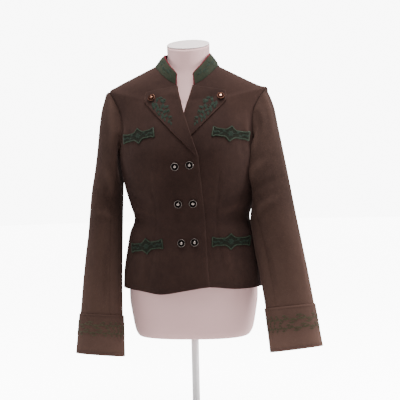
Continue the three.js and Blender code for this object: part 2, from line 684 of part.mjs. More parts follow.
function lapelPlace(share, reach) {
  const height = lerp(BREAK_HEIGHT + 4, LAPEL.rollTop, share);
  const roll = { across: -edgeAcross(height) - 0.2, height };
  const edge = lapelOutline(share);
  return {
    across: lerp(roll.across, edge.across, reach),
    height: lerp(roll.height, edge.height, reach),
    fromRoll: reach * Math.hypot(edge.across - roll.across, edge.height - roll.height),
  };
}

function lapelPoint(side, share, reach, out) {
  const place = lapelPlace(share, reach);
  const under = side > 0 ? smooth(V_HEIGHT - 6, V_HEIGHT + 26, place.height) : smooth(0, 0.15, share);
  const bulge = under * LAPEL.rollBulge * Math.exp(-place.fromRoll / LAPEL.rollFade);
  return onFront(side * place.across, place.height, LAPEL_GAP + out + bulge, side < 0);
}

function lapel(side, name) {
  const layer = (out) => {
    const rows = [];
    for (let row = 0; row <= LAPEL_ROWS; row += 1) {
      const share = lerp(LAPEL.foldStart, 1, row / LAPEL_ROWS);
      const points = [];
      for (let col = 0; col <= LAPEL_COLUMNS; col += 1) {
        points.push(lapelPoint(side, share, col / LAPEL_COLUMNS, out));
      }
      rows.push(points);
    }
    return rows;
  };
  return wall(`lapel_${name}`, layer(CLOTH), layer(0), suede);
}

// Appliqué motifs: a bar with flared ends and a pointed bump in the middle
function motifHalf(place) {
  const flare = smooth(0.78, 0.96, Math.abs(place));
  const bump = (MOTIF_HALF.bump - MOTIF_HALF.bar) * Math.max(0, 1 - Math.abs(place) / 0.3) ** 1.4;
  return lerp(MOTIF_HALF.bar, MOTIF_HALF.end, flare) + bump;
}

function motif(spec, side, name) {
  const layer = (out) => [-1, 0, 1].map((edge) => {
    const points = [];
    for (let col = 0; col <= MOTIF_COLUMNS; col += 1) {
      const place = (2 * col) / MOTIF_COLUMNS - 1;
      const along = place * spec.length / 2;
      const up = edge * motifHalf(place);
      const slope = spec.slope * RAD;
      const x = spec.across + along * Math.cos(slope) - up * Math.sin(slope);
      const z = spec.height + along * Math.sin(slope) + up * Math.cos(slope);
      points.push(onFront(side * x, z, out, side < 0));
    }
    return points;
  });
  return wall(`motif_${spec.name}_${name}`, layer(LAYER_GAP + MOTIF_CLOTH), layer(LAYER_GAP), greenTrim);
}

// Buttons and lapel studs stand on the cloth along its normal
function button(name, seat, normal, material) {
  const profile = BUTTON_PROFILE.map(({ radius, rise }) => new THREE.Vector2(radius, rise));
  const geometry = new THREE.LatheGeometry(profile, BUTTON_SIDES);
  const turn = new THREE.Quaternion().setFromUnitVectors(vec(0, 1, 0), normal);
  const spin = new THREE.Quaternion().setFromAxisAngle(vec(0, 1, 0), BUTTON_TURN);
  const mesh = meshOf(name, geometry, material);
  mesh.quaternion.copy(turn.multiply(spin));
  mesh.position.copy(seat);
  return mesh;
}

function normalOf(place) {
  const step = 4;
  const across = place(step, 0).sub(place(-step, 0));
  const upward = place(0, step).sub(place(0, -step));
  return across.cross(upward).normalize();
}

function frontButton(name, x, z, sink) {
  const at = (dx, dz) => onFront(x + dx, z + dz, LAYER_GAP - sink, true);
  return button(name, at(0, 0), normalOf(at), silver);
}

function lapelStud(side, name) {
  const out = LAPEL_GAP + CLOTH + LAYER_GAP;
  const at = (dx, dz) => onFront(side * STUD[name] + dx, STUD.height + dz, out, side < 0);
  return button(`stud_lapel_${name}`, at(0, 0), normalOf(at), copper);
}

// Dress form and stand
function formTorso() {
  const rows = [];
  for (let row = 0; row <= FORM_ROWS; row += 1) {
    rows.push(sampleRing(FORM_RINGS, row * (FORM_RINGS.length - 1) / FORM_ROWS));
  }
  const positions = [];
  const triangles = [];
  for (const ring of rows) {
    for (let side = 0; side < FORM_SIDES; side += 1) {
      positions.push(...ringPoint(ring, side * 360 / FORM_SIDES).toArray());
    }
  }
  const last = rows.length - 1;
  for (let row = 0; row < last; row += 1) {
    for (let side = 0; side < FORM_SIDES; side += 1) {
      const next = (side + 1) % FORM_SIDES;
      const [a, b] = [row * FORM_SIDES + side, row * FORM_SIDES + next];
      const [c, d] = [b + FORM_SIDES, a + FORM_SIDES];
      triangles.push(a, b, c, a, c, d);
    }
  }
  const middles = [rows[0], rows[last]].map((ring) => vec(0, ring.mid, (ring.zFront + ring.zBack) / 2));
  positions.push(...middles.flatMap((point) => point.toArray()));
  const floor = rows.length * FORM_SIDES;
  for (let side = 0; side < FORM_SIDES; side += 1) {
    const next = (side + 1) % FORM_SIDES;
    triangles.push(floor, next, side);
    triangles.push(floor + 1, last * FORM_SIDES + side, last * FORM_SIDES + next);
  }
  return solid('form_torso', positions, triangles, formCloth);
}

// The neck's plate lies on the slanted cut of the neck
function neckPlate() {
  const ring = FORM_RINGS[FORM_RINGS.length - 1];
  const slant = Math.atan2(ring.zBack - ring.zFront, ring.front + ring.back);
  const geometry = new THREE.CylinderGeometry(ring.half - 1.5, ring.half, NECK_PLATE, FORM_SIDES);
  const mesh = meshOf('form_neck_plate', geometry, formCloth);
  const up = vec(0, -Math.sin(slant), Math.cos(slant));
  mesh.quaternion.setFromUnitVectors(vec(0, 1, 0), up);
  const seat = vec(0, 0, (ring.zFront + ring.zBack) / 2);
  mesh.position.copy(seat.addScaledVector(up, NECK_PLATE / 2 + SEAM_GAP));
  return mesh;
}

function lathePiece(name, outline, sides, material) {
  const profile = outline.map(({ radius, rise }) => new THREE.Vector2(radius, rise));
  const mesh = meshOf(name, new THREE.LatheGeometry(profile, sides), material);
  mesh.rotation.x = Math.PI / 2;
  return mesh;
}

function stand() {
  const top = FORM_RINGS[0].zFront - POLE.into;
  const pole = lathePiece('stand_pole', [
    { radius: 0, rise: POLE.bottom + SEAM_GAP },
    { radius: POLE.radius, rise: POLE.bottom + SEAM_GAP },
    { radius: POLE.radius, rise: top },
    { radius: 0, rise: top },
  ], POLE.sides, steel);
  const foot = lathePiece('stand_foot', [
    { radius: 0, rise: 0 },
    { radius: FOOT.radius, rise: 0 },
    { radius: FOOT.radius, rise: FOOT.edge },
    { radius: FOOT.radius - 4, rise: FOOT.edge + 2 },
    { radius: FOOT.hub, rise: FOOT.rise - 4 },
    { radius: FOOT.hub - 4, rise: FOOT.rise },
    { radius: 0, rise: FOOT.rise },
  ], FOOT.sides, steel);
  return [pole, foot];
}

function build() {
  const jacket = new THREE.Group();
  for (const [side, name, table] of [[-1, 'right', RIGHT_SLEEVE], [1, 'left', LEFT_SLEEVE]]) {
    const panels = bodyPanels(side, name);
    const sleeve = makeSleeve(table, side, panels);
    jacket.add(...panels.meshes, ...sleevePieces(sleeve, name), cuff(sleeve, name));
    jacket.add(lapel(side, name), lapelStud(side, name));
    jacket.add(...MOTIFS[name].map((spec) => motif(spec, side, name)));
  }
  jacket.add(collar());
  BUTTON_ROWS.forEach((row, index) => {
    const number = index + 1;
    jacket.add(frontButton(`button_right_${number}`, row.right, row.height - row.drop, row.sinkRight));
    jacket.add(frontButton(`button_left_${number}`, row.left, row.height, row.sinkLeft));
  });
  const form = new THREE.Group();
  form.add(formTorso(), neckPlate(), ...stand());
  const object = new THREE.Group();
  object.add(jacket, form);
  return object;
}

export default build();
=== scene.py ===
# Short suede jacket with embroidered green trim, hung on a limbless dress form with a round foot.
# Sizes in the tables are millimetres. The front faces -Y, and +X is the wearer's left.
import math

import bpy
import numpy as np
from mathutils import Matrix, Vector


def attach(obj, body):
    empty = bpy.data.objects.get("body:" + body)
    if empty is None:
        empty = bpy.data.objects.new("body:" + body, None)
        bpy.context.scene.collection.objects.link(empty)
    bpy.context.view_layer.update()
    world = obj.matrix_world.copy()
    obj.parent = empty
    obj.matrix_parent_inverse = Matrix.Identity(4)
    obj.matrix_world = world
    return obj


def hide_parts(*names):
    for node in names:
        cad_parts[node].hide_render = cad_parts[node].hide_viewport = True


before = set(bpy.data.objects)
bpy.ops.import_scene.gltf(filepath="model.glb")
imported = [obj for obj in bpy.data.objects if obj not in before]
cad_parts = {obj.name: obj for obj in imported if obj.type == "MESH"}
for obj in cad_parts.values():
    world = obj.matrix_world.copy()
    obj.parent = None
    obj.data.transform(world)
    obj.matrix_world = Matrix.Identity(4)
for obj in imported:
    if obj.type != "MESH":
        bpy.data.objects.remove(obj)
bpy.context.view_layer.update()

MM = 0.001

# Driving sizes of the cloth
CLOTH = 2.0
COLLAR_CLOTH = 2.4
MOTIF_CLOTH = 1.2
SEAM_GAP = 0.3
LAYER_GAP = 0.35
LAPEL_GAP = 0.8
LAP_GAP = 0.9
CUFF_GAP = 0.6

# The two fronts: the edge below the break, and the roll line above it
BREAK_HEIGHT, BREAK_ACROSS, EDGE_SLANT = 636, 35, 0.056
V_HEIGHT, V_SLANT = 732, 0.28

RING_NAMES = ("half", "front", "back", "z_front", "z_side", "z_back", "square", "mid", "flat")
BODY_RINGS = [
    (168, 121, 117, 328, 328, 327, 2.3, 0, 0),
    (166, 119, 117, 364, 364, 364, 2.3, 0, 0),
    (157, 114, 112, 420, 420, 420, 2.3, 0, 0),
    (150, 109, 103, 456, 456, 456, 2.3, 0, 0),
    (138, 105, 92, 492, 490, 492, 2.3, 0, 0),
    (147, 109, 93, 526, 524, 526, 2.35, 0, 0),
    (157, 116, 98, 562, 560, 562, 2.4, 0, 0),
    (166, 125, 104, 610, 606, 612, 2.4, 0, 0),
    (170, 127, 107, 646, 642, 652, 2.4, 1, 0),
    (169, 120, 108, 690, 682, 705, 2.45, 3, 0),
    (172, 106, 106, 728, 736, 757, 2.3, 5, 0),
    (191, 94, 99, 757, 795, 797, 1.85, 7, 0),
    (172, 90, 94, 764, 804.5, 810, 1.87, 7, 0),
    (136, 84, 83, 779, 822, 834, 1.95, 6, 0),
    (77, 71, 62, 799, 851, 866, 2, 4, 0),
]
UNDERARM, SHOULDER_TIP, NECK = 8, 11, 14
ARMHOLE_ROWS = [8, 8.07, 8.25, 8.55, 8.95, 9.4, 9.85, 10.3, 10.65, 10.88, 11]
ARMHOLE_FRONT, ARMHOLE_BACK, ARMHOLE_ROUND = 27, 29, 2.2

FORM_RINGS = [
    (120, 78, 84, 208, 208, 208, 2.6, -2, 0),
    (132, 90, 96, 211, 211, 211, 2.6, -2, 0),
    (141, 97, 103, 221, 221, 221, 2.5, -2, 0),
    (150, 103, 109, 260, 260, 260, 2.4, -2, 0),
    (156, 108, 111, 308, 308, 308, 2.3, -2, 0),
    (155, 108, 109, 360, 360, 360, 2.3, -1, 0),
    (143, 100, 97, 430, 430, 430, 2.3, 0, 0),
    (129, 95, 82, 492, 490, 492, 2.3, 0, 0),
    (145, 104, 88, 562, 560, 562, 2.3, 0, 0),
    (153, 113, 95, 618, 614, 620, 2.3, 0, 0),
    (150, 110, 96, 660, 660, 668, 2.3, 1, 0),
    (146, 99, 94, 706, 712, 724, 2.3, 4, 0),
    (152, 88, 91, 740, 755, 768, 2.1, 6, 0),
    (162, 80, 84, 757, 785.7, 794.7, 1.9, 7, 0),
    (150, 76, 76, 766, 800.7, 808.7, 1.9, 7, 0),
    (110, 67, 66, 787, 825.7, 834.7, 1.9, 6, 0),
    (68, 58, 54, 812, 848.7, 860.7, 2, 4, 0),
    (50.5, 52.5, 49, 842, 866, 882, 2, 3, 0),
    (51, 51, 51, 885, 901, 917, 2, 0, 1),
]

SLEEVE_NAMES = ("out_x", "out_z", "in_x", "in_z", "y", "deep", "fold_front", "fold_back")
RIGHT_SLEEVE = [
    (191, 795, 170, 642, 4, 66, 27, 24),
    (199.5, 791, 171.7, 643.8, 4, 68, 27, 24),
    (205, 775, 173.4, 641, 3, 70, 26, 22),
    (213, 748, 173.6, 634, 1, 70, 25, 20),
    (219, 708, 173.6, 622, -1, 69, 24, 18),
    (225, 655, 171.5, 603, -4, 66, 22, 14),
    (232, 602, 166, 572, -8, 61, 16, 8),
    (240, 553, 166, 534, -12, 56, 6, 3),
    (244.5, 500, 166.5, 494, -17, 52, 0, 0),
    (249, 435, 166, 431, -30, 47, 0, 0),
    (255, 368, 165.5, 364, -43, 42, 0, 0),
    (261.5, 303, 164.5, 298, -54, 38, 0, 0),
    (267, 243, 162.5, 237, -63, 35, 0, 0),
    (272.5, 176, 160.5, 168, -72, 33, 0, 0),
]
LEFT_SLEEVE = [
    (191, 795, 170, 642, 4, 66, 27, 24),
    (191.5, 787, 171.7, 643.8, 4, 68, 27, 24),
    (196, 774.5, 173.4, 641, 3, 70, 27, 23),
    (204, 748, 173.6, 634, 1, 71, 28, 22),
    (210.5, 706, 173.6, 622, -3, 71, 38, 20),
    (219.5, 655, 171.5, 603, -8, 68, 45, 16),
    (229.5, 602, 165, 572, -14, 62, 42, 12),
    (239, 553, 154, 534, -22, 54, 31, 8),
    (249.5, 498, 142.5, 488, -33, 45, 10, 3),
    (263, 430, 151, 420, -46, 38, 0, 0),
    (276.5, 361, 164, 351, -57, 34, 0, 0),
    (288, 295, 175, 284, -66, 31, 0, 0),
    (297, 240, 182.5, 228, -73, 29, 0, 0),
    (305, 194, 188, 179, -79, 28, 0, 0),
]
SLEEVE_END = 13
ARMHOLE_SHARE = [1, 0.92, 0.74, 0.5, 0.24, 0.08, 0]
CUFF_TOP = {"right": 11.6, "left": 11.1}
SIDES = {"right": -1, "left": 1}


# Small numeric helpers
def smooth(low, high, value):
    share = np.clip((np.asarray(value, float) - low) / (high - low), 0, 1)
    return share * share * (3 - 2 * share)


def bell(value, middle, width):
    return np.exp(-(((value - middle) / width) ** 2))


def power(value, exponent):
    return np.sign(value) * np.abs(value) ** exponent


def unit(vectors):
    return vectors / np.maximum(np.linalg.norm(vectors, axis=-1, keepdims=True), 1e-9)


def mix(low, high, share):
    return low + (high - low) * share


def spline(values, row):
    """A column of a table at fractional rows, by a cubic that never overshoots its rows."""
    values = np.asarray(values, float)
    rise = np.diff(values)
    slope = np.zeros(len(values))
    slope[0], slope[-1] = rise[0], rise[-1]
    product, total = rise[:-1] * rise[1:], rise[:-1] + rise[1:]
    slope[1:-1] = np.where(product > 0, 2 * product / np.where(total == 0, 1, total), 0)
    low = np.clip(np.floor(row).astype(int), 0, len(values) - 2)
    s = row - low
    return (
        (2 * s**3 - 3 * s**2 + 1) * values[low]
        + (s**3 - 2 * s**2 + s) * slope[low]
        + (3 * s**2 - 2 * s**3) * values[low + 1]
        + (s**3 - s**2) * slope[low + 1]
    )


FINE_STEPS = 4001


def fine_table(rows, names):
    data = np.array(rows, float)
    at = np.linspace(0, len(data) - 1, FINE_STEPS)
    table = {name: spline(data[:, i], at) for i, name in enumerate(names)}
    return at, table


def at_row(table, row):
    at, columns = table
    return {name: np.interp(row, at, values) for name, values in columns.items()}


def eased(table, window, start, end, fade, names):
    """Round off the corners between rows, where cloth runs over the shoulder in one curve."""
    at, columns = table
    reach = int(window / (at[1] - at[0]) / 2)
    weight = np.hanning(2 * reach + 3)[1:-1]
    weight /= weight.sum()
    share = smooth(start - fade, start, at) * (1 - smooth(end, end + fade, at))
    soft = dict(columns)
    for name in names:
        padded = np.pad(columns[name], reach, mode="edge")
        soft[name] = mix(columns[name], np.convolve(padded, weight, mode="valid"), share)
    return at, soft


BODY = eased(fine_table(BODY_RINGS, RING_NAMES), 0.5, 10.7, 12.6, 0.3, ("half", "z_side", "square", "mid"))
BODY = eased(BODY, 1.0, 10.5, 12.6, 0.4, ("front", "z_front"))
BODY = eased(BODY, 1.8, 10.2, 12.8, 0.7, ("back", "z_back"))
FORM = fine_table(FORM_RINGS, RING_NAMES)


def ring_point(ring, angle):
    """Point of a ring: 0 is the front, 90 the wearer's left, 180 the back."""
    sine, cosine = np.sin(np.radians(angle)), np.cos(np.radians(angle))
    exponent = 2 / ring["square"]
    depth = np.where(cosine > 0, ring["front"], ring["back"])
    z_end = np.where(cosine > 0, ring["z_front"], ring["z_back"])
    x = ring["half"] * power(sine, exponent)
    y = ring["mid"] - depth * power(cosine, exponent)
    rounded = mix(ring["z_side"], z_end, cosine**2)
    level = ring["z_side"] - cosine * (ring["z_back"] - ring["z_front"]) / 2
    return np.stack([x, y, mix(rounded, level, ring["flat"])], -1)


def lean_across(x, row):
    return -4 * smooth(9, 11, row) * np.minimum(1, (x / 77) ** 2)


def body_point(angle, row):
    """Base surface of the jacket's body, with the bust and the hem's hang."""
    angle, row = np.broadcast_arrays(np.asarray(angle, float), np.asarray(row, float))
    point = ring_point(at_row(BODY, row), angle)
    facing = np.maximum(np.cos(np.radians(angle)), 0) ** 0.5
    swell = bell(np.abs(point[..., 0]), 84, 46) * bell(point[..., 2], 642, 52)
    point[..., 1] -= 7 * swell * facing
    hang = -9 * bell(point[..., 0], -62, 45) + 7 * bell(point[..., 0], 55, 42)
    point[..., 2] += hang * facing * (1 - smooth(0, 1.6, row))
    point[..., 2] -= point[..., 0] * 0.027 * smooth(10.4, 12.6, row)
    point[..., 0] += lean_across(point[..., 0], row)
    return point


def body_normal(angle, row):
    low, high = np.maximum(0, row - 0.02), np.minimum(NECK, row + 0.02)
    around = body_point(angle + 0.4, row) - body_point(angle - 0.4, row)
    upward = body_point(angle, high) - body_point(angle, low)
    return unit(np.cross(around, upward))


def lap_lift(x, z):
    """Lift of the right front over the left one, and over the left lapel above the break."""
    over_front = smooth(-95, -58, x)
    over_lapel = smooth(-80, -38, x) * smooth(585, 628, z) * (1 - smooth(765, 795, z))
    return (CLOTH + LAP_GAP) * (over_front * (1 - smooth(775, 800, z)) + over_lapel)


# Creases: each runs along a bent path, as a soft ridge (height above 0) or trough (below 0)
def bent_path(start, bend, end, place, count=46):
    share = np.linspace(0, 1, count)[:, None]
    pair = (1 - share) ** 2 * np.array(start, float)
    pair = pair + 2 * share * (1 - share) * np.array(bend, float) + share**2 * np.array(end, float)
    return place(pair[:, 0], pair[:, 1])


def crease_lift(points, creases):
    flat = points.reshape(-1, 3)
    lift = np.zeros(len(flat))
    for path, width, height in creases:
        low, high = path.min(0) - 3 * width, path.max(0) + 3 * width
        near = np.flatnonzero(np.all((flat > low) & (flat < high), axis=1))
        if not len(near):
            continue
        away = np.linalg.norm(flat[near, None] - path[None], axis=2)
        best = away.argmin(1)
        distance = away[np.arange(len(near)), best]
        share = best / (len(path) - 1)
        taper = smooth(0, 0.3, share) * (1 - smooth(0.6, 1, share))
        shape = 1.3 * bell(distance, 0, width) - 0.3 * bell(distance, 0, 2.1 * width)
        lift[near] += height * taper * shape
    return lift.reshape(points.shape[:-1])


# Each line: start, bend and end as (degrees round the body, ring), then width and height
BODY_CREASES = [
    # drag lines from the waist buttons towards the side seams
    ((20, 4.3), (45, 4.6), (72, 5.3), 7, 1.6),
    ((18, 3.9), (44, 3.7), (70, 3.9), 8, -1.5),
    ((-22, 4.2), (-46, 4.5), (-74, 5.1), 7, 1.5),
    ((-20, 3.8), (-48, 3.8), (-72, 4.1), 8, -1.4),
    ((28, 5.2), (50, 5.4), (76, 6.1), 9, -1.5),
    ((-26, 5.1), (-50, 5.5), (-78, 6.0), 9, -1.4),
    # break at the front of the armholes
    ((56, 8.4), (52, 9.1), (54, 10.1), 7, 2.0),
    ((-56, 8.3), (-53, 9.0), (-55, 9.9), 7, 1.8),
    ((49, 7.6), (46, 8.4), (47, 9.4), 8, -1.3),
    ((-50, 7.7), (-47, 8.5), (-46, 9.6), 8, -1.2),
    # skirt below the waist
    ((35, 0.3), (33, 1.6), (37, 2.9), 12, 1.4),
    ((-38, 0.2), (-35, 1.4), (-37, 3.0), 12, 1.3),
    ((62, 0.2), (60, 1.5), (66, 3.2), 13, -1.7),
    ((-64, 0.2), (-60, 1.7), (-67, 3.3), 13, -1.6),
    # back: small of the back, shoulder blades and skirt
    ((172, 4.4), (150, 4.2), (118, 4.9), 8, 1.9),
    ((188, 4.3), (212, 4.2), (242, 4.8), 8, 1.8),
    ((168, 5.0), (146, 5.3), (112, 6.0), 9, -1.8),
    ((193, 5.1), (214, 5.4), (246, 6.1), 9, -1.7),
    ((165, 3.6), (140, 3.2), (112, 3.4), 8, -1.4),
    ((196, 3.7), (218, 3.3), (248, 3.4), 8, -1.4),
    ((128, 8.2), (131, 9.2), (129, 10.2), 8, 1.8),
    ((232, 8.1), (229, 9.0), (231, 10.1), 8, 1.7),
    ((150, 0.2), (148, 1.5), (153, 2.8), 14, 1.8),
    ((208, 0.2), (212, 1.4), (207, 2.7), 14, 1.7),
    ((121, 0.2), (119, 1.3), (125, 2.6), 13, -1.6),
    ((238, 0.2), (241, 1.3), (236, 2.5), 13, -1.5),
]
BODY_PATHS = [
    (bent_path(start, bend, end, body_point), width, height)
    for start, bend, end, width, height in BODY_CREASES
]


def on_body(angle, row, out, lapped=False):
    point = body_point(angle, row)
    out = out + crease_lift(point, BODY_PATHS)
    if lapped:
        out = out + lap_lift(point[..., 0], point[..., 2])
    return point + body_normal(angle, row) * np.asarray(out)[..., None]


def find_on_front(x, z):
    """Degrees and ring of the body's points seen from the front at x and z."""
    x, z = np.broadcast_arrays(np.asarray(x, float), np.asarray(z, float))
    low, high = np.zeros(x.shape), np.full(x.shape, float(NECK))
    for _ in range(26):
        row = (low + high) / 2
        ring = at_row(BODY, row)
        across = x - lean_across(x - lean_across(x, row), row)
        share = np.minimum(1, np.abs(across) / ring["half"])
        angle = np.sign(across) * np.degrees(np.arcsin(share ** (ring["square"] / 2)))
        below = body_point(angle, row)[..., 2] < z
        low, high = np.where(below, row, low), np.where(below, high, row)
    return angle, (low + high) / 2


def on_front(x, z, out, lapped=False):
    angle, row = find_on_front(x, z)
    return on_body(angle, row, out, lapped)


def side_across(side, y, z):
    """Distance across at which the body's side stands, at a depth and a height."""
    low, high = np.zeros(y.shape), np.full(y.shape, float(NECK))
    for _ in range(22):
        row = (low + high) / 2
        ring = at_row(BODY, row)
        ahead = ring["mid"] - y
        share = np.minimum(1, np.abs(ahead) / np.where(ahead > 0, ring["front"], ring["back"]))
        angle = np.degrees(np.arccos(np.sign(ahead) * share ** (ring["square"] / 2)))
        point = body_point(side * angle, row)
        below = point[..., 2] < z
        low, high = np.where(below, row, low), np.where(below, high, row)
    return side * point[..., 0]


# Node helpers
def link(tree, source, target):
    tree.links.new(source, target)


def group_tree(name, inputs, outputs):
    """A shader node group with named sockets, each (name, kind, default)."""
    tree = bpy.data.node_groups.new(name, "ShaderNodeTree")
    for label, kind, default in inputs:
        socket = tree.interface.new_socket(label, in_out="INPUT", socket_type=f"NodeSocket{kind}")
        if default is not None:
            socket.default_value = default
    for label, kind in outputs:
        tree.interface.new_socket(label, in_out="OUTPUT", socket_type=f"NodeSocket{kind}")
    return tree, tree.nodes.new("NodeGroupInput"), tree.nodes.new("NodeGroupOutput")


def noise(tree, vector, scale, detail=3, roughness=0.5):
    node = tree.nodes.new("ShaderNodeTexNoise")
    node.inputs["Scale"].default_value = scale
    node.inputs["Detail"].default_value = detail
    node.inputs["Roughness"].default_value = roughness
    link(tree, vector, node.inputs["Vector"])
    return node.outputs["Fac"]


def math_node(tree, kind, first, second):
    node = tree.nodes.new("ShaderNodeMath")
    node.operation = kind
    for socket, value in zip(node.inputs, (first, second)):
        if isinstance(value, (int, float)):
            socket.default_value = value
        else:
            link(tree, value, socket)
    return node.outputs[0]


def blend_colours(tree, share, first, second):
    node = tree.nodes.new("ShaderNodeMix")
    node.data_type = "RGBA"
    for label, value in (("Factor", share), ("A", first), ("B", second)):
        kind = "Float" if label == "Factor" else "Color"
        socket = next(s for s in node.inputs if s.name == label and s.identifier.endswith(kind))
        if isinstance(value, (int, float, tuple)):
            socket.default_value = value
        else:
            link(tree, value, socket)
    return next(s for s in node.outputs if s.identifier.endswith("Color"))


def ramp(tree, value, low, high):
    node = tree.nodes.new("ShaderNodeMapRange")
    node.interpolation_type = "SMOOTHSTEP"
    node.inputs["From Min"].default_value = low
    node.inputs["From Max"].default_value = high
    link(tree, value, node.inputs["Value"])
    return node.outputs["Result"]


def stretched(tree, vector, scale):
    node = tree.nodes.new("ShaderNodeMapping")
    node.inputs["Scale"].default_value = scale
    link(tree, vector, node.inputs["Vector"])
    return node.outputs["Vector"]


# Shader groups for this jacket's finishes
def suede_nap():
    """Brushed nap: broad cloudy patches, brush marks and fine fibres. The mesh value lifts it towards the
    lightest colour as painted light on shoulders, sleeves and crease ridges, less in crease troughs and seams as
    painted shade, and lighter at edges.
    """
    tree, given, out = group_tree(
        "Suede nap",
        [("Place", "Vector", None), ("Deep", "Color", (0.02, 0.01, 0.01, 1)),
         ("Mid", "Color", (0.04, 0.02, 0.02, 1)), ("Brushed", "Color", (0.08, 0.05, 0.04, 1)),
         ("Rub", "Float", 0.0)],
        [("Colour", "Color"), ("Height", "Float")],
    )
    place = given.outputs["Place"]
    patches = noise(tree, place, 9, 4, 0.6)
    strokes = noise(tree, stretched(tree, place, (90, 90, 45)), 1, 3, 0.6)
    fibres = noise(tree, place, 900, 3, 0.7)
    cloudy = math_node(tree, "ADD", math_node(tree, "MULTIPLY", patches, 0.72),
                       math_node(tree, "MULTIPLY", strokes, 0.28))
    base = blend_colours(tree, ramp(tree, cloudy, 0.32, 0.68), given.outputs["Deep"], given.outputs["Mid"])
    fleck = math_node(tree, "MULTIPLY", ramp(tree, fibres, 0.5, 0.85), 0.32)
    # Painted light and shade from the mesh value lighten or darken the nap here, on top of the fibre flecks.
    lifted = math_node(tree, "ADD", fleck, math_node(tree, "MULTIPLY", given.outputs["Rub"], 0.5))
    link(tree, blend_colours(tree, lifted, base, given.outputs["Brushed"]), out.inputs["Colour"])
    height = math_node(tree, "ADD", math_node(tree, "MULTIPLY", fibres, 0.5),
                       math_node(tree, "MULTIPLY", strokes, 0.8))
    link(tree, height, out.inputs["Height"])
    return tree


def satin_threads():
    """Threads laid side by side, along the V of the piece's own map, with a painted sheen on the thread crowns in
    patches.
    """
    tree, given, out = group_tree(
        "Satin threads",
        [("Map", "Vector", None), ("Thread", "Color", (0.05, 0.08, 0.05, 1)),
         ("Light thread", "Color", (0.1, 0.14, 0.09, 1)), ("Threads per metre", "Float", 2400.0)],
        [("Colour", "Color"), ("Height", "Float")],
    )
    wave = tree.nodes.new("ShaderNodeTexWave")
    wave.wave_type, wave.bands_direction = "BANDS", "X"
    wave.inputs["Distortion"].default_value = 1.2
    wave.inputs["Detail"].default_value = 2
    link(tree, given.outputs["Map"], wave.inputs["Vector"])
    link(tree, math_node(tree, "DIVIDE", given.outputs["Threads per metre"], 20.0), wave.inputs["Scale"])
    patches = noise(tree, given.outputs["Map"], 160, 2, 0.5)
    # Painted sheen along each thread, in patches.
    share = math_node(tree, "MULTIPLY", wave.outputs["Fac"], ramp(tree, patches, 0.3, 0.75))
    link(tree, blend_colours(tree, share, given.outputs["Thread"], given.outputs["Light thread"]),
         out.inputs["Colour"])
    link(tree, wave.outputs["Fac"], out.inputs["Height"])
    return tree


def jersey_rib():
    """Fine knit of the form's cover, with slight shade changes."""
    tree, given, out = group_tree(
        "Jersey rib",
        [("Place", "Vector", None), ("Cover", "Color", (0.6, 0.5, 0.5, 1)),
         ("Shade", "Color", (0.5, 0.4, 0.4, 1))],
        [("Colour", "Color"), ("Height", "Float")],
    )
    wave = tree.nodes.new("ShaderNodeTexWave")
    wave.wave_type, wave.bands_direction = "BANDS", "X"
    wave.inputs["Scale"].default_value = 60
    wave.inputs["Distortion"].default_value = 0.6
    link(tree, given.outputs["Place"], wave.inputs["Vector"])
    loops = noise(tree, stretched(tree, given.outputs["Place"], (900, 900, 500)), 1, 2, 0.6)
    patches = noise(tree, given.outputs["Place"], 7, 3, 0.5)
    share = math_node(tree, "MULTIPLY", ramp(tree, patches, 0.25, 0.8), 0.6)
    link(tree, blend_colours(tree, share, given.outputs["Cover"], given.outputs["Shade"]),
         out.inputs["Colour"])
    link(tree, math_node(tree, "ADD", math_node(tree, "MULTIPLY", wave.outputs["Fac"], 0.4), loops),
         out.inputs["Height"])
    return tree


def aged_metal():
    """Metal with dark deposits in its hollows, rubbed bright on what stands proud."""
    tree, given, out = group_tree(
        "Aged metal",
        [("Place", "Vector", None), ("Bright", "Color", (0.6, 0.58, 0.55, 1)),
         ("Dark", "Color", (0.05, 0.05, 0.05, 1)), ("Hollow", "Float", 0.0)],
        [("Colour", "Color"), ("Roughness", "Float"), ("Height", "Float")],
    )
    grime = noise(tree, given.outputs["Place"], 420, 4, 0.65)
    share = math_node(tree, "ADD", given.outputs["Hollow"],
                      math_node(tree, "MULTIPLY", ramp(tree, grime, 0.45, 0.8), 0.35))
    link(tree, blend_colours(tree, ramp(tree, share, 0.1, 0.9), given.outputs["Bright"],
                             given.outputs["Dark"]), out.inputs["Colour"])
    link(tree, math_node(tree, "ADD", 0.28, math_node(tree, "MULTIPLY", share, 0.4)),
         out.inputs["Roughness"])
    link(tree, grime, out.inputs["Height"])
    return tree


def smooth_coat():
    """Sprayed paint with a faint orange peel and light handling marks."""
    tree, given, out = group_tree(
        "Smooth coat",
        [("Place", "Vector", None), ("Paint", "Color", (0.8, 0.8, 0.8, 1)),
         ("Worn", "Color", (0.7, 0.7, 0.7, 1))],
        [("Colour", "Color"), ("Height", "Float")],
    )
    marks = noise(tree, given.outputs["Place"], 26, 5, 0.6)
    peel = noise(tree, given.outputs["Place"], 500, 1, 0.5)
    share = math_node(tree, "MULTIPLY", ramp(tree, marks, 0.45, 0.8), 0.5)
    link(tree, blend_colours(tree, share, given.outputs["Paint"], given.outputs["Worn"]),
         out.inputs["Colour"])
    link(tree, peel, out.inputs["Height"])
    return tree


NAP, SATIN, JERSEY, METAL, COAT = suede_nap(), satin_threads(), jersey_rib(), aged_metal(), smooth_coat()


def srgb(red, green, blue):
    def linear(value):
        value /= 255
        return value / 12.92 if value <= 0.04045 else ((value + 0.055) / 1.055) ** 2.4
    return (linear(red), linear(green), linear(blue), 1.0)


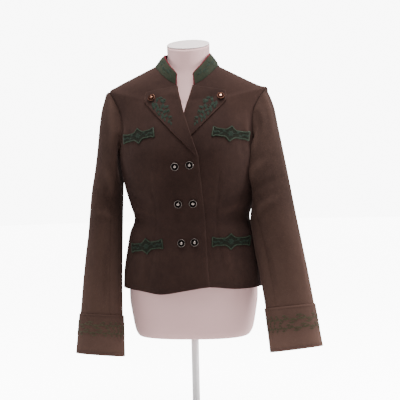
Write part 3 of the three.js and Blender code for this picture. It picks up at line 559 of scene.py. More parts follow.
def finish(name, group, colours, constants, bump=0.3, depth=0.0006, mapped=False, attribute=None, numbers=()):
    """A material: the group gives what varies, and constants stay on the shader's own sockets."""
    material = bpy.data.materials.new(name)
    material.use_nodes = True
    tree = material.node_tree
    shader = tree.nodes["Principled BSDF"]
    for label, value in constants.items():
        shader.inputs[label].default_value = value
    node = tree.nodes.new("ShaderNodeGroup")
    node.node_tree = group
    for label, value in colours.items():
        node.inputs[label].default_value = value
    for label, value in numbers:
        node.inputs[label].default_value = value
    if mapped:
        source = tree.nodes.new("ShaderNodeUVMap")
        source.uv_map = "cloth"
        link(tree, source.outputs["UV"], node.inputs["Map"])
    else:
        source = tree.nodes.new("ShaderNodeTexCoord")
        link(tree, source.outputs["Object"], node.inputs["Place"])
    if attribute:
        read = tree.nodes.new("ShaderNodeAttribute")
        read.attribute_name = attribute[0]
        link(tree, read.outputs["Fac"], node.inputs[attribute[1]])
    link(tree, node.outputs["Colour"], shader.inputs["Base Color"])
    if "Roughness" in node.outputs:
        link(tree, node.outputs["Roughness"], shader.inputs["Roughness"])
    lift = tree.nodes.new("ShaderNodeBump")
    lift.inputs["Strength"].default_value = bump
    lift.inputs["Distance"].default_value = depth
    link(tree, node.outputs["Height"], lift.inputs["Height"])
    link(tree, lift.outputs["Normal"], shader.inputs["Normal"])
    return material


NAP_SHEEN = {"Roughness": 0.95, "Specular IOR Level": 0.1, "Sheen Weight": 0.18, "Sheen Roughness": 0.4}
BODY_SUEDE = finish(
    "Brown suede of the body", NAP,
    {"Deep": srgb(39, 26, 23), "Mid": srgb(49, 34, 30), "Brushed": srgb(88, 62, 53)},
    {**NAP_SHEEN, "Sheen Tint": srgb(150, 120, 112)}, 0.3, 0.0007, attribute=("rub", "Rub"))
# A copy of the body's suede painted lighter: painted light stands in for the light that falls on the sleeves.
PAINTED_LIGHT_SLEEVE_SUEDE = finish(
    "Brown suede of the sleeves", NAP,
    {"Deep": srgb(41, 28, 24), "Mid": srgb(51, 36, 31), "Brushed": srgb(120, 92, 82)},
    {**NAP_SHEEN, "Sheen Tint": srgb(160, 130, 122)}, 0.3, 0.0007, attribute=("rub", "Rub"))
COLLAR_SUEDE = finish(
    "Green suede of the collar", NAP,
    {"Deep": srgb(34, 38, 29), "Mid": srgb(49, 50, 40), "Brushed": srgb(76, 80, 63)},
    {**NAP_SHEEN, "Sheen Tint": srgb(140, 150, 130)}, 0.3, 0.0007, attribute=("rub", "Rub"))
MOTIF_SUEDE = finish(
    "Dark green suede of the motifs", NAP,
    {"Deep": srgb(21, 22, 17), "Mid": srgb(28, 29, 23), "Brushed": srgb(44, 46, 37)},
    {**NAP_SHEEN, "Sheen Tint": srgb(140, 150, 130)}, 0.3, 0.0007, attribute=("rub", "Rub"))
BURGUNDY = finish(
    "Burgundy facing of the collar", NAP,
    {"Deep": srgb(74, 20, 28), "Mid": srgb(100, 32, 42), "Brushed": srgb(136, 62, 70)},
    {**NAP_SHEEN, "Sheen Tint": srgb(160, 110, 112)}, 0.3, 0.0005, attribute=("rub", "Rub"))
LINING = finish(
    "Dark lining", NAP,
    {"Deep": srgb(30, 20, 20), "Mid": srgb(44, 30, 28), "Brushed": srgb(70, 52, 48)},
    {"Roughness": 0.6, "Specular IOR Level": 0.4, "Sheen Weight": 0.1}, 0.2, 0.0004)
THREAD = finish(
    "Green embroidery thread", SATIN,
    {"Thread": srgb(18, 30, 21), "Light thread": srgb(34, 47, 34)},
    {"Roughness": 0.75, "Specular IOR Level": 0.15, "Sheen Weight": 0.05}, 0.5, 0.0002, mapped=True)
PALE_THREAD = finish(
    "Grey green embroidery thread", SATIN,
    {"Thread": srgb(30, 40, 29), "Light thread": srgb(52, 62, 45)},
    {"Roughness": 0.75, "Specular IOR Level": 0.15, "Sheen Weight": 0.05}, 0.5, 0.0002, mapped=True)
CUFF_THREAD = finish(
    "Dull green embroidery thread", SATIN,
    {"Thread": srgb(58, 52, 39), "Light thread": srgb(74, 66, 50)},
    {"Roughness": 0.8, "Specular IOR Level": 0.1, "Sheen Weight": 0.05}, 0.5, 0.0002, mapped=True)
STITCH_THREAD = finish(
    "Brown sewing thread", NAP,
    {"Deep": srgb(34, 23, 20), "Mid": srgb(43, 30, 26), "Brushed": srgb(62, 46, 40)},
    {"Roughness": 0.8, "Specular IOR Level": 0.15, "Sheen Weight": 0.05}, 0.2, 0.0001)
COVER = finish(
    "Pinkish jersey cover", JERSEY, {"Cover": srgb(214, 174, 172), "Shade": srgb(201, 160, 158)},
    {"Roughness": 0.75, "Specular IOR Level": 0.3, "Sheen Weight": 0.25}, 0.25, 0.0003)
CAP = finish(
    "Pale neck cap", JERSEY, {"Cover": srgb(226, 214, 212), "Shade": srgb(214, 200, 200)},
    {"Roughness": 0.6, "Specular IOR Level": 0.35, "Sheen Weight": 0.15}, 0.15, 0.0002)
SILVER = finish(
    "Aged silver", METAL, {"Bright": srgb(150, 138, 132), "Dark": srgb(16, 12, 12)},
    {"Metallic": 0.95}, 0.3, 0.0002, attribute=("hollow", "Hollow"))
COPPER = finish(
    "Aged copper", METAL, {"Bright": srgb(206, 150, 122), "Dark": srgb(40, 18, 13)},
    {"Metallic": 0.95}, 0.3, 0.0002, attribute=("hollow", "Hollow"))
PAINT = finish(
    "White painted steel", COAT, {"Paint": srgb(226, 224, 224), "Worn": srgb(208, 206, 206)},
    {"Roughness": 0.35, "Specular IOR Level": 0.5, "Coat Weight": 0.2}, 0.08, 0.0002)
FLOOR_PAINT = finish(
    "White floor", COAT, {"Paint": srgb(250, 250, 250), "Worn": srgb(247, 247, 247)},
    {"Roughness": 0.9, "Specular IOR Level": 0.1}, 0.02, 0.0002)


# Meshes
def flipped_outward(points, faces):
    """The faces, turned round if they point inward."""
    volume = 0.0
    for size in (3, 4):
        some = np.array([face for face in faces if len(face) == size], int)
        if len(some):
            corners = [points[some[:, i]] for i in range(size)]
            for i in range(1, size - 1):
                volume += np.einsum("ij,ij->", corners[0], np.cross(corners[i], corners[i + 1]))
    return [face[::-1] for face in faces] if volume < 0 else faces


class Pile:
    """Loose closed parts of one piece, gathered into one mesh."""

    def __init__(self):
        self.points, self.faces, self.maps, self.slots, self.values, self.count = [], [], [], [], [], 0
        self.sharp = set()

    def add(self, points, faces, maps=None, slots=0, values=None, sharp=()):
        points = np.asarray(points, float).reshape(-1, 3)
        faces = [list(face) for face in faces]
        turned = flipped_outward(points - points.mean(0), faces)
        self.faces += [[corner + self.count for corner in face] for face in turned]
        self.slots += [slots] * len(faces) if isinstance(slots, int) else list(slots)
        self.points.append(points)
        self.maps.append(np.zeros((len(points), 2)) if maps is None else np.asarray(maps).reshape(-1, 2))
        self.values.append(np.zeros(len(points)) if values is None else np.asarray(values).ravel())
        self.sharp |= {(min(a, b) + self.count, max(a, b) + self.count) for a, b in sharp}
        self.count += len(points)

    def make(self, name, materials, label="rub"):
        points, maps = np.concatenate(self.points) * MM, np.concatenate(self.maps) * MM
        mesh = bpy.data.meshes.new(name)
        mesh.from_pydata(points.tolist(), [], self.faces)
        for material in materials:
            mesh.materials.append(material)
        mesh.polygons.foreach_set("material_index", np.array(self.slots, np.int32))
        mesh.polygons.foreach_set("use_smooth", np.ones(len(self.faces), bool))
        layer = mesh.uv_layers.new(name="cloth")
        corners = np.zeros(len(mesh.loops), np.int32)
        mesh.loops.foreach_get("vertex_index", corners)
        layer.data.foreach_set("uv", maps[corners].astype(np.float32).ravel())
        value = mesh.attributes.new(label, "FLOAT", "POINT")
        value.data.foreach_set("value", np.concatenate(self.values).astype(np.float32))
        if self.sharp:
            ends = np.zeros(len(mesh.edges) * 2, np.int32)
            mesh.edges.foreach_get("vertices", ends)
            pairs = np.sort(ends.reshape(-1, 2), 1).tolist()
            crisp = mesh.attributes.new("sharp_edge", "BOOLEAN", "EDGE")
            crisp.data.foreach_set("value", [tuple(pair) in self.sharp for pair in pairs])
        mesh.update()
        piece = bpy.data.objects.new(name, mesh)
        bpy.context.scene.collection.objects.link(piece)
        return piece


def edge_loop(rows, columns):
    """Grid places round a sheet's border, in order."""
    border = [(0, c) for c in range(columns)] + [(r, columns - 1) for r in range(1, rows)]
    border += [(rows - 1, c) for c in range(columns - 2, -1, -1)]
    return border + [(r, 0) for r in range(rows - 2, 0, -1)]


def shell(pile, outer, inner, loop=False, slots=(0, 0, 1), rub=None, sewn=()):
    """A closed cloth wall between two grids of points, its free edges rounded.
    slots are the material slots of the outside, the edge and the inside.
    sewn tells which borders are joined to a neighbour: first, last, bottom or top. They end square."""
    rows, columns = outer.shape[:2]
    count = rows * columns
    number = np.arange(count).reshape(rows, columns)
    wrap = np.concatenate([number, number[:, :1]], 1) if loop else number
    a, b, c, d = wrap[:-1, :-1].ravel(), wrap[:-1, 1:].ravel(), wrap[1:, 1:].ravel(), wrap[1:, :-1].ravel()
    faces = np.stack([a, b, c, d], 1).tolist() + np.stack([d, c, b, a], 1).__add__(count).tolist()
    kinds = [slots[0]] * len(a) + [slots[2]] * len(a)
    middle = (outer + inner) / 2
    thick = np.linalg.norm(outer - inner, axis=-1, keepdims=True)
    outward = np.zeros_like(outer)
    square = np.zeros((rows, columns), bool)
    for border, place, after in (("bottom", np.s_[0], np.s_[1]), ("top", np.s_[-1], np.s_[-2]),
                                 ("first", np.s_[:, 0], np.s_[:, 1]), ("last", np.s_[:, -1], np.s_[:, -2])):
        if border in sewn:
            square[place] = True
        elif not (loop and border in ("first", "last")):
            outward[place] += unit(middle[place] - middle[after])
    rim = middle + unit(outward) * thick * 0.42 * ~square[..., None]
    if loop:
        borders = [[(0, c) for c in range(columns)], [(rows - 1, c) for c in range(columns)][::-1]]
    else:
        borders = [edge_loop(rows, columns)]
    points, places = [outer.reshape(-1, 3), inner.reshape(-1, 3)], []
    start = 2 * count
    sharp = []
    for border in borders:
        size = len(border)
        flat = [int(number[place]) for place in border]
        for i in range(size):
            j = (i + 1) % size
            if square[border[i]] and square[border[j]]:
                sharp += [(flat[i], flat[j]), (flat[i] + count, flat[j] + count)]
            faces.append([flat[j], flat[i], start + i, start + j])
            faces.append([start + j, start + i, flat[i] + count, flat[j] + count])
            kinds += [slots[1], slots[1]]
        points.append(np.array([rim[place] for place in border]))
        places += border
        start += size
    along = np.concatenate([np.zeros((rows, 1)), np.cumsum(
        np.linalg.norm(np.diff(outer, axis=1), axis=2), 1)], 1)
    up = np.concatenate([np.zeros((1, columns)), np.cumsum(
        np.linalg.norm(np.diff(outer, axis=0), axis=2), 0)], 0)
    maps = np.stack([along, up], -1)
    rub = np.zeros((rows, columns)) if rub is None else rub
    pile.add(
        np.concatenate(points), faces,
        np.concatenate([maps.reshape(-1, 2), maps.reshape(-1, 2), [maps[p] for p in places]]), kinds,
        np.concatenate([rub.ravel(), rub.ravel(), [rub[p] for p in places]]), sharp)


def cut_size(grid, loop=False):
    """Flat width, length and area of a cloth grid, in metres."""
    if loop:
        grid = np.concatenate([grid, grid[:, :1]], 1)
    across = np.linalg.norm(np.diff(grid, axis=1), axis=2).sum(1)
    down = np.linalg.norm(np.diff(grid, axis=0), axis=2).sum(0)
    first = np.linalg.norm(np.cross(grid[1:, 1:] - grid[:-1, :-1], grid[1:, :-1] - grid[:-1, 1:]), axis=-1)
    return across.max() * MM, down.max() * MM, first.sum() / 2 * MM * MM


def from_edges(grid):
    """Distance along the cloth of each place from the grid's first and last columns."""
    steps = np.linalg.norm(np.diff(grid, axis=1), axis=2)
    along = np.concatenate([np.zeros((len(grid), 1)), np.cumsum(steps, 1)], 1)
    return along, along[:, -1:] - along


# Fronts and backs
def edge_across(z):
    z = np.asarray(z, float)
    share = (z - BREAK_HEIGHT) / (V_HEIGHT - BREAK_HEIGHT)
    above = np.where(share < 1, BREAK_ACROSS * (1 - share), (V_HEIGHT - z) * V_SLANT)
    return np.where(z < BREAK_HEIGHT, BREAK_ACROSS + (BREAK_HEIGHT - z) * EDGE_SLANT, above)


def edge_angle(row):
    ring = at_row(BODY, row)
    across = edge_across(ring["z_front"])
    share = (np.abs(across) / ring["half"]) ** (ring["square"] / 2)
    return np.sign(across) * np.degrees(np.arcsin(share))


def armhole_cut(row, depth):
    place = np.clip(2 * (row - UNDERARM) / (SHOULDER_TIP - UNDERARM) - 1, -1, 1)
    return depth * (1 - np.abs(place) ** ARMHOLE_ROUND) ** (1 / ARMHOLE_ROUND)


ROUND = np.cos(np.linspace(0, math.pi, 31))
ARMHOLE_FINE = 9.5 - 1.5 * power(ROUND, 2 / ARMHOLE_ROUND)
FINE_ROWS = np.concatenate([np.arange(0, 7.95, 0.09), ARMHOLE_FINE, np.arange(11.08, 14.001, 0.0811)])
FINE_ROWS[-1] = NECK
FRONT_SHARE = np.linspace(0, 1, 84)
BACK_SHARE = np.linspace(0, 1, 76)


def panel_angles(start, end, share):
    return mix(start[:, None], end[:, None], share[None])


def seam_dip(grid, sides, depth=0.4, width=2.0):
    """The cloth turns in where it is sewn, along its first or last column."""
    first, last = from_edges(grid)
    dip = depth * sides[0] * np.exp(-((first / width) ** 2))
    return dip + depth * sides[1] * np.exp(-((last / width) ** 2))


def dart_dip(points):
    """Waist dart: a sewn line that runs from below the bust to the hip."""
    x, z = np.abs(points[..., 0]), points[..., 2]
    line = 82 - 13 * bell(z, 492, 66)
    reach = smooth(372, 400, z) * (1 - smooth(590, 618, z))
    return 1.1 * reach * bell(x, line, 2.4)


def painted_shoulder_light(points):
    """Painted light: the nap is painted lighter over the shoulders, where light from above falls, and a little
    lighter on the wearer's left, the better lit side.
    """
    across = points[..., 0]
    return (0.08 + 0.14 * smooth(0, 150, across)) * smooth(700, 810, points[..., 2] + 0.35 * np.abs(across)) * (
        smooth(20, 120, np.abs(across)))


def front_piece(side, name):
    start, end = -side * edge_angle(FINE_ROWS), side * (90 - armhole_cut(FINE_ROWS, ARMHOLE_FRONT))
    angles = panel_angles(start, end, FRONT_SHARE)
    rows = np.repeat(FINE_ROWS[:, None], len(FRONT_SHARE), 1)
    base = body_point(angles, rows)
    lift = crease_lift(base, BODY_PATHS)
    dip = seam_dip(base, (0, 1)) + dart_dip(base)
    outer = on_body(angles, rows, -dip, side < 0)
    inner = on_body(angles, rows, -CLOTH, side < 0)
    # Painted highlight on crease ridges, painted shade in crease troughs and along the seam and dart lines, and
    # painted light on the shoulders.
    rub = np.clip(lift / 14, -0.1, 0.12) - 0.2 * np.clip(dip, 0, 1) + painted_shoulder_light(base)
    pile = Pile()
    shell(pile, outer, inner, rub=rub, sewn=("last", "top"))
    return pile.make(f"front_{name}_suede", [BODY_SUEDE, LINING]), cut_size(outer)


def back_piece(side, name):
    start = side * (90 + armhole_cut(FINE_ROWS, ARMHOLE_BACK))
    angles = panel_angles(start, np.full(len(FINE_ROWS), side * 180.0), BACK_SHARE)
    rows = np.repeat(FINE_ROWS[:, None], len(BACK_SHARE), 1)
    base = body_point(angles, rows)
    lift = crease_lift(base, BODY_PATHS)
    dip = seam_dip(base, (1, 1))
    outer = on_body(angles, rows, -dip)
    inner = on_body(angles, rows, -CLOTH)
    # Painted highlight on crease ridges, painted shade in crease troughs and along the seams, and painted light
    # on the shoulders.
    rub = np.clip(lift / 14, -0.1, 0.12) - 0.2 * np.clip(dip, 0, 1) + painted_shoulder_light(base)
    pile = Pile()
    shell(pile, outer, inner, rub=rub, sewn=("first", "last", "top"))
    return pile.make(f"back_{name}_suede", [BODY_SUEDE, LINING]), cut_size(outer)


# Sleeves. column counts round the armhole: 0 the shoulder tip, 10 under the arm, 20 the tip again
def armhole_point(side, column):
    column = np.mod(column, 20)
    ahead = column <= 10
    row = np.interp(np.where(ahead, 10 - column, column - 10), np.arange(11), ARMHOLE_ROWS)
    front, back = armhole_cut(row, ARMHOLE_FRONT), armhole_cut(row, ARMHOLE_BACK)
    return on_body(side * np.where(ahead, 90 - front, 90 + back), row, 0.0)


def sleeve_frame(table, side, row):
    s = at_row(table, row)
    outer = np.stack([side * s["out_x"], s["y"], s["out_z"]], -1)
    inner = np.stack([side * s["in_x"], s["y"], s["in_z"]], -1)
    return (outer + inner) / 2, (outer - inner) / 2, s


SLEEVE_ROUND = 20


class Sleeve:
    """Surface of one sleeve, from the armhole (row 0) to the cuff's mouth (row 13)."""

    def __init__(self, side, rows, creases):
        self.side, self.table = side, fine_table(rows, SLEEVE_NAMES)
        middle, across, s = sleeve_frame(self.table, side, np.array(0.0))
        self.start, self.start_u = middle, unit(across)
        self.start_v = np.array([0.0, -1.0, 0.0])
        self.start_width, self.start_deep = np.linalg.norm(across), float(s["deep"])
        self.outward = np.cross(self.start_u, self.start_v) * side
        self.paths = []
        self.paths = [(bent_path(a, b, c, lambda col, row: self.base(row, col)), width, height)
                      for a, b, c, width, height in creases]

    def axes(self, row):
        middle, across, s = sleeve_frame(self.table, self.side, row)
        before = sleeve_frame(self.table, self.side, np.maximum(0, row - 0.5))[0]
        after = sleeve_frame(self.table, self.side, np.minimum(SLEEVE_END, row + 0.5))[0]
        u = unit(across)
        square = unit(np.cross(after - before, u) * self.side)
        share = smooth(3, 8, row)[..., None]
        v = unit(mix(np.array([0.0, -1.0, 0.0]), square, share))
        return middle, u, v, np.linalg.norm(across, axis=-1), s

    def base(self, row, column):
        """The seam line of the sleeve's shape, before it is moved clear of the body."""
        row, column = np.broadcast_arrays(np.asarray(row, float), np.asarray(column, float))
        arm = armhole_point(self.side, column) - self.start
        hole_u, hole_v = arm @ self.start_u / self.start_width, arm @ self.start_v / self.start_deep
        hole_out = arm @ self.outward
        angle = np.arctan2(hole_v, hole_u)
        middle, u, v, width, s = self.axes(row)
        share = np.where(row < 6, spline(ARMHOLE_SHARE, np.minimum(row, 5.999)), 0)
        round_v = power(np.sin(angle), 2 / 2.2)
        fold = np.where(round_v > 0, s["fold_front"], s["fold_back"])
        bend = -fold * np.abs(round_v) ** 2.6
        across = mix(power(np.cos(angle), 2 / 2.2), hole_u, share) * width
        deep = mix(round_v, hole_v, share) * s["deep"]
        out = mix(bend, hole_out, share)
        return middle + u * across[..., None] + v * deep[..., None] + self.outward * out[..., None]

    def surface(self, row, column, out):
        row, column = np.broadcast_arrays(np.asarray(row, float), np.asarray(column, float))
        point = self.base(row, column)
        _, u, v, _, _ = self.axes(row)
        along = self.base(row, column + 0.35) - self.base(row, column - 0.35)
        du, dv = (along * u).sum(-1), (along * v).sum(-1)
        length = np.maximum(np.hypot(du, dv), 1e-6)
        aside = u * (dv / length)[..., None] - v * (du / length)[..., None]
        clear = point + aside * (-CLOTH)
        push = np.zeros(row.shape)
        near = row < 9.5
        for test in (point, clear):
            stand = side_across(self.side, test[..., 1][near], test[..., 2][near])
            push[near] = np.maximum(push[near], stand + 0.8 - self.side * test[..., 0][near])
        push *= smooth(0, 1, row)
        out = out + crease_lift(point, self.paths) * smooth(0, 0.5, row)
        round_tip = np.minimum(np.abs(column), np.abs(column - SLEEVE_ROUND))
        out = out + 1.5 * bell(row, 0.4, 0.3) * smooth(0, 0.2, row) * bell(round_tip, 0, 2.5)
        point = point + aside * np.asarray(out)[..., None]
        point[..., 0] += self.side * (push + LAYER_GAP)
        return point


# Each line: start, bend and end as (column, row), then width and height
RIGHT_SLEEVE_CREASES = [
    ((1.5, 0.6), (3.5, 2.6), (4.2, 5.2), 9, 2.2),
    ((5.2, 1.2), (5.6, 3.0), (4.8, 5.0), 8, -2.0),
    ((3.0, 5.6), (4.6, 6.6), (6.6, 7.0), 9, 2.6),
    ((2.2, 6.8), (4.2, 7.5), (6.8, 7.4), 9, -2.4),
    ((3.0, 8.0), (4.8, 7.9), (7.2, 8.3), 8, 2.2),
    ((18.6, 5.2), (17.4, 6.6), (14.6, 6.9), 9, 2.4),
    ((18.0, 6.6), (16.6, 7.4), (14.0, 7.7), 9, -2.2),
    ((17.5, 1.0), (16.6, 2.8), (16.2, 4.8), 10, 2.0),
    ((1.2, 8.6), (1.8, 10.0), (1.4, 11.4), 9, 1.6),
    ((5.4, 9.0), (4.6, 10.2), (5.2, 11.4), 8, -1.5),
    ((18.4, 8.4), (18.0, 9.8), (18.8, 11.2), 9, -1.5),
]
LEFT_SLEEVE_CREASES = [
    ((0.9, 0.5), (1.9, 2.4), (1.8, 5.4), 8, 3.0),
    ((3.2, 0.9), (3.7, 2.6), (3.2, 5.2), 9, -2.6),
    ((5.0, 1.2), (5.4, 3.2), (5.2, 5.0), 9, 2.2),
    ((2.4, 5.4), (4.6, 6.2), (6.8, 6.4), 8, 2.6),
    ((1.8, 6.4), (4.0, 7.0), (6.6, 7.1), 8, -2.6),
    ((2.6, 7.4), (4.6, 7.8), (6.8, 8.2), 8, 2.4),
    ((18.8, 5.0), (17.4, 6.2), (14.8, 6.6), 9, 2.4),
    ((18.2, 6.4), (16.6, 7.1), (14.2, 7.6), 9, -2.2),
    ((17.6, 1.0), (16.8, 2.6), (16.4, 4.6), 10, 2.0),
    ((1.6, 8.8), (2.4, 9.8), (2.0, 11.0), 8, 1.6),
    ((6.2, 8.6), (5.4, 9.8), (5.8, 10.9), 8, -1.4),
    ((18.6, 8.2), (18.2, 9.6), (18.9, 10.8), 9, -1.5),
]
SLEEVES = {
    "right": Sleeve(-1, RIGHT_SLEEVE, RIGHT_SLEEVE_CREASES),
    "left": Sleeve(1, LEFT_SLEEVE, LEFT_SLEEVE_CREASES),
}
SLEEVE_FINE = np.concatenate([[0, 0.12, 0.3, 0.55], np.linspace(0.8, SLEEVE_END, 122)])


def sleeve_pieces(name):
    sleeve = SLEEVES[name]
    made = []
    for label, first, last, count in (("upper", -6, 6, 84), ("under", 6, 14, 60)):
        columns = np.linspace(first, last, count)
        rows, columns = np.meshgrid(SLEEVE_FINE, columns, indexing="ij")
        middle = sleeve.surface(rows, columns, 0.0)
        dip = seam_dip(middle, (1, 1))
        outer = sleeve.surface(rows, columns, -dip)
        inner = sleeve.surface(rows, columns, -CLOTH)
        lift = crease_lift(sleeve.base(rows, columns), sleeve.paths)
        # Painted highlight on crease ridges and painted shade in crease troughs and seams; painted light on the
        # sleeve head and towards the cuff, stronger on the better lit left sleeve.
        rub = np.clip(lift / 16, -0.1, 0.14) - 0.2 * np.clip(dip, 0, 1)
        rub = rub + 0.06 * (1 - smooth(1, 4.5, rows)) + (0.6 if name == "left" else 0.36) * smooth(6.5, 13, rows)
        pile = Pile()
        shell(pile, outer, inner, rub=rub, sewn=("first", "last", "bottom"))
        piece = pile.make(f"sleeve_{name}_{label}_suede", [PAINTED_LIGHT_SLEEVE_SUEDE, LINING])
        made.append((piece, cut_size(outer), f"sleeve_{name}_{label}"))
    return made


CUFF_OUT = CUFF_GAP + CLOTH


def cuff_piece(name):
    sleeve = SLEEVES[name]
    rows = np.concatenate([np.linspace(CUFF_TOP[name], SLEEVE_END - 0.02, 34), [SLEEVE_END]])
    rows, columns = np.meshgrid(rows, np.linspace(0, 20, 145)[:-1], indexing="ij")
    outer = sleeve.surface(rows, columns, CUFF_OUT)
    inner = sleeve.surface(rows, columns, CUFF_GAP)
    pile = Pile()
    # Painted light: the cuffs are painted lighter, more on the better lit left cuff and towards the mouth.
    rub = (0.52 if name == "left" else 0.24) + 0.3 * smooth(11.4, SLEEVE_END, rows)
    shell(pile, outer, inner, loop=True, rub=rub)
    return pile.make(f"cuff_{name}_suede", [PAINTED_LIGHT_SLEEVE_SUEDE, LINING]), cut_size(outer, True)


# Stand collar
COLLAR_TOP = dict(zip(RING_NAMES, (55.5, 61, 54, 829, 880, 902, 2, 3, 0)))


def collar_line(share, rise):
    end = mix(15.6, 18.5, rise)
    angle = mix(end, 360 - end, share)
    base = body_point(angle, np.full(np.shape(angle), float(NECK)))
    top = ring_point(COLLAR_TOP, angle) + np.array([-2, 0, 0])
    foot = base + unit(top - base) * (SEAM_GAP + LAYER_GAP / 2)
    out = unit(base * np.array([1, 1, 0]))
    bow = np.sin(np.pi * rise) * 1.2
    return mix(foot, top, rise[..., None]) + out * bow[..., None]


def collar_height(share):
    from_end = np.minimum(share, 1 - share) * 30
    corner = np.minimum(1, from_end / 1.6)
    return 1 - (1 - np.sqrt(1 - (1 - corner) ** 2)) * 7 / 34


def collar_surface(share, rise, out):
    share, rise = np.broadcast_arrays(np.asarray(share, float), np.asarray(rise, float))
    at = rise * collar_height(share)
    before, after = np.maximum(0, share - 0.004), np.minimum(1, share + 0.004)
    around = collar_line(after, at) - collar_line(before, at)
    upward = collar_line(share, at + 0.004) - collar_line(share, at - 0.004)
    normal = unit(np.cross(around, upward))
    return collar_line(share, at) + normal * np.asarray(out)[..., None]


def collar_piece():
    even = np.linspace(0, 1, 181)
    share = even - np.sin(2 * np.pi * even) * 0.12
    rise = np.append(np.linspace(0, 0.955, 18), 1)
    rise, share = np.meshgrid(rise, share, indexing="ij")
    outer = collar_surface(share, rise, np.zeros(share.shape))
    inner = collar_surface(share, rise, np.full(share.shape, -COLLAR_CLOTH))
    pile = Pile()
    # The collar is lighter towards its top edge.
    shell(pile, outer, inner, slots=(0, 1, 1), rub=0.2 * smooth(0.75, 1, rise))
    columns = outer.shape[1] - 1
    for number in range((outer.shape[0] - 1) * columns):
        row, column = divmod(number, columns)
        if row == outer.shape[0] - 2 or min(column, columns - 1 - column) < 3:
            pile.slots[number] = 1
    return pile.make("collar_suede", [COLLAR_SUEDE, BURGUNDY]), cut_size(outer)


# Lapels
LAPEL_LOW, LAPEL_HIGH, ROLL_TOP, LOWER_SHARE = (94, 763), (92, 787), 799, 0.87


def lapel_edge(share):
    along = np.clip(share / LOWER_SHARE, 0, 1)
    sag = np.sin(np.pi * along) * 2
    low_x = mix(1.5 - BREAK_ACROSS, LAPEL_LOW[0], along) + sag
    low_z = mix(BREAK_HEIGHT, LAPEL_LOW[1], along) - sag
    rest = np.clip((share - LOWER_SHARE) / (1 - LOWER_SHARE), 0, 1)
    high_x = mix(LAPEL_LOW[0], LAPEL_HIGH[0], rest) + np.sin(np.pi * rest) * 1.5
    high_z = mix(LAPEL_LOW[1], LAPEL_HIGH[1], rest)
    lower = share <= LOWER_SHARE
    return np.where(lower, low_x, high_x), np.where(lower, low_z, high_z)


def lapel_bulge(side, share, height, from_roll):
    under = smooth(V_HEIGHT - 6, V_HEIGHT + 26, height) if side > 0 else smooth(0, 0.15, share)
    return under * 2.4 * np.exp(-from_roll / 9)


def lapel_surface(side, share, reach, out):
    roll_z = mix(BREAK_HEIGHT + 4, ROLL_TOP, share)
    roll_x = -edge_across(roll_z) - 0.2
    edge_x, edge_z = lapel_edge(share)
    x, z = mix(roll_x, edge_x, reach), mix(roll_z, edge_z, reach)
    from_roll = reach * np.hypot(edge_x - roll_x, edge_z - roll_z)
    bulge = lapel_bulge(side, share, z, from_roll)
    return on_front(side * x, z, LAPEL_GAP + out + bulge, side < 0)


def lapel_piece(side, name):
    share = np.concatenate([np.linspace(0.015, LOWER_SHARE, 78), np.linspace(LOWER_SHARE, 1, 17)[1:]])
    share, reach = np.meshgrid(share, np.linspace(0, 1, 44), indexing="ij")
    outer = lapel_surface(side, share, reach, CLOTH)
    inner = lapel_surface(side, share, reach, 0)
    pile = Pile()
    # The lapel is lighter towards its outer edge and along the roll line.
    rub = 0.25 * smooth(0.93, 1, reach) + 0.2 * (1 - smooth(0, 0.08, reach))
    shell(pile, outer, inner, rub=rub, slots=(0, 0, 0))
    return pile.make(f"lapel_{name}_suede", [BODY_SUEDE]), cut_size(outer)


def lapel_top(side):
    """Place of a sewn thread on the lapel: x and z as seen from the front, and its height."""
    def place(x, z, high):
        roll_x = -edge_across(z) - 0.2
        bulge = lapel_bulge(side, smooth(BREAK_HEIGHT, ROLL_TOP, z), z, np.maximum(0, x - roll_x) * 0.9)
        return on_front(side * x, z, LAPEL_GAP + CLOTH + bulge + high, side < 0)
    return place


# Appliqué motifs
MOTIFS = {
    -1: {"chest": (107, 685, 82, -9), "hip": (95, 429, 84, -8)},
    1: {"chest": (107, 685, 82, -9), "hip": (101, 437, 84, -1)},
}


def motif_half(place):
    flare = smooth(0.78, 0.96, np.abs(place))
    bump = 10 * np.maximum(0, 1 - np.abs(place) / 0.3) ** 1.4
    return mix(9, 11.5, flare) + bump


def motif_top(kind, side):
    """Place on a motif: along and up from its middle, and the height over its underside."""
    across, height, _, slope = MOTIFS[side][kind]
    turn = math.radians(slope)

    def place(along, up, high):
        x = across + along * math.cos(turn) - up * math.sin(turn)
        z = height + along * math.sin(turn) + up * math.cos(turn)
        return on_front(side * x, z, LAYER_GAP + high, side < 0)
    return place


def motif_piece(kind, side, name):
    length = MOTIFS[side][kind][2]
    place = motif_top(kind, side)
    at, edge = np.meshgrid(np.linspace(-1, 1, 97), np.linspace(-1, 1, 17), indexing="xy")
    along, up = at * length / 2, edge * motif_half(at)
    pile = Pile()
    shell(pile, place(along, up, MOTIF_CLOTH), place(along, up, 0.0), slots=(0, 0, 0))
    piece = pile.make(f"motif_{kind}_{name}_suede", [MOTIF_SUEDE])
    return piece, cut_size(place(along, up, MOTIF_CLOTH))


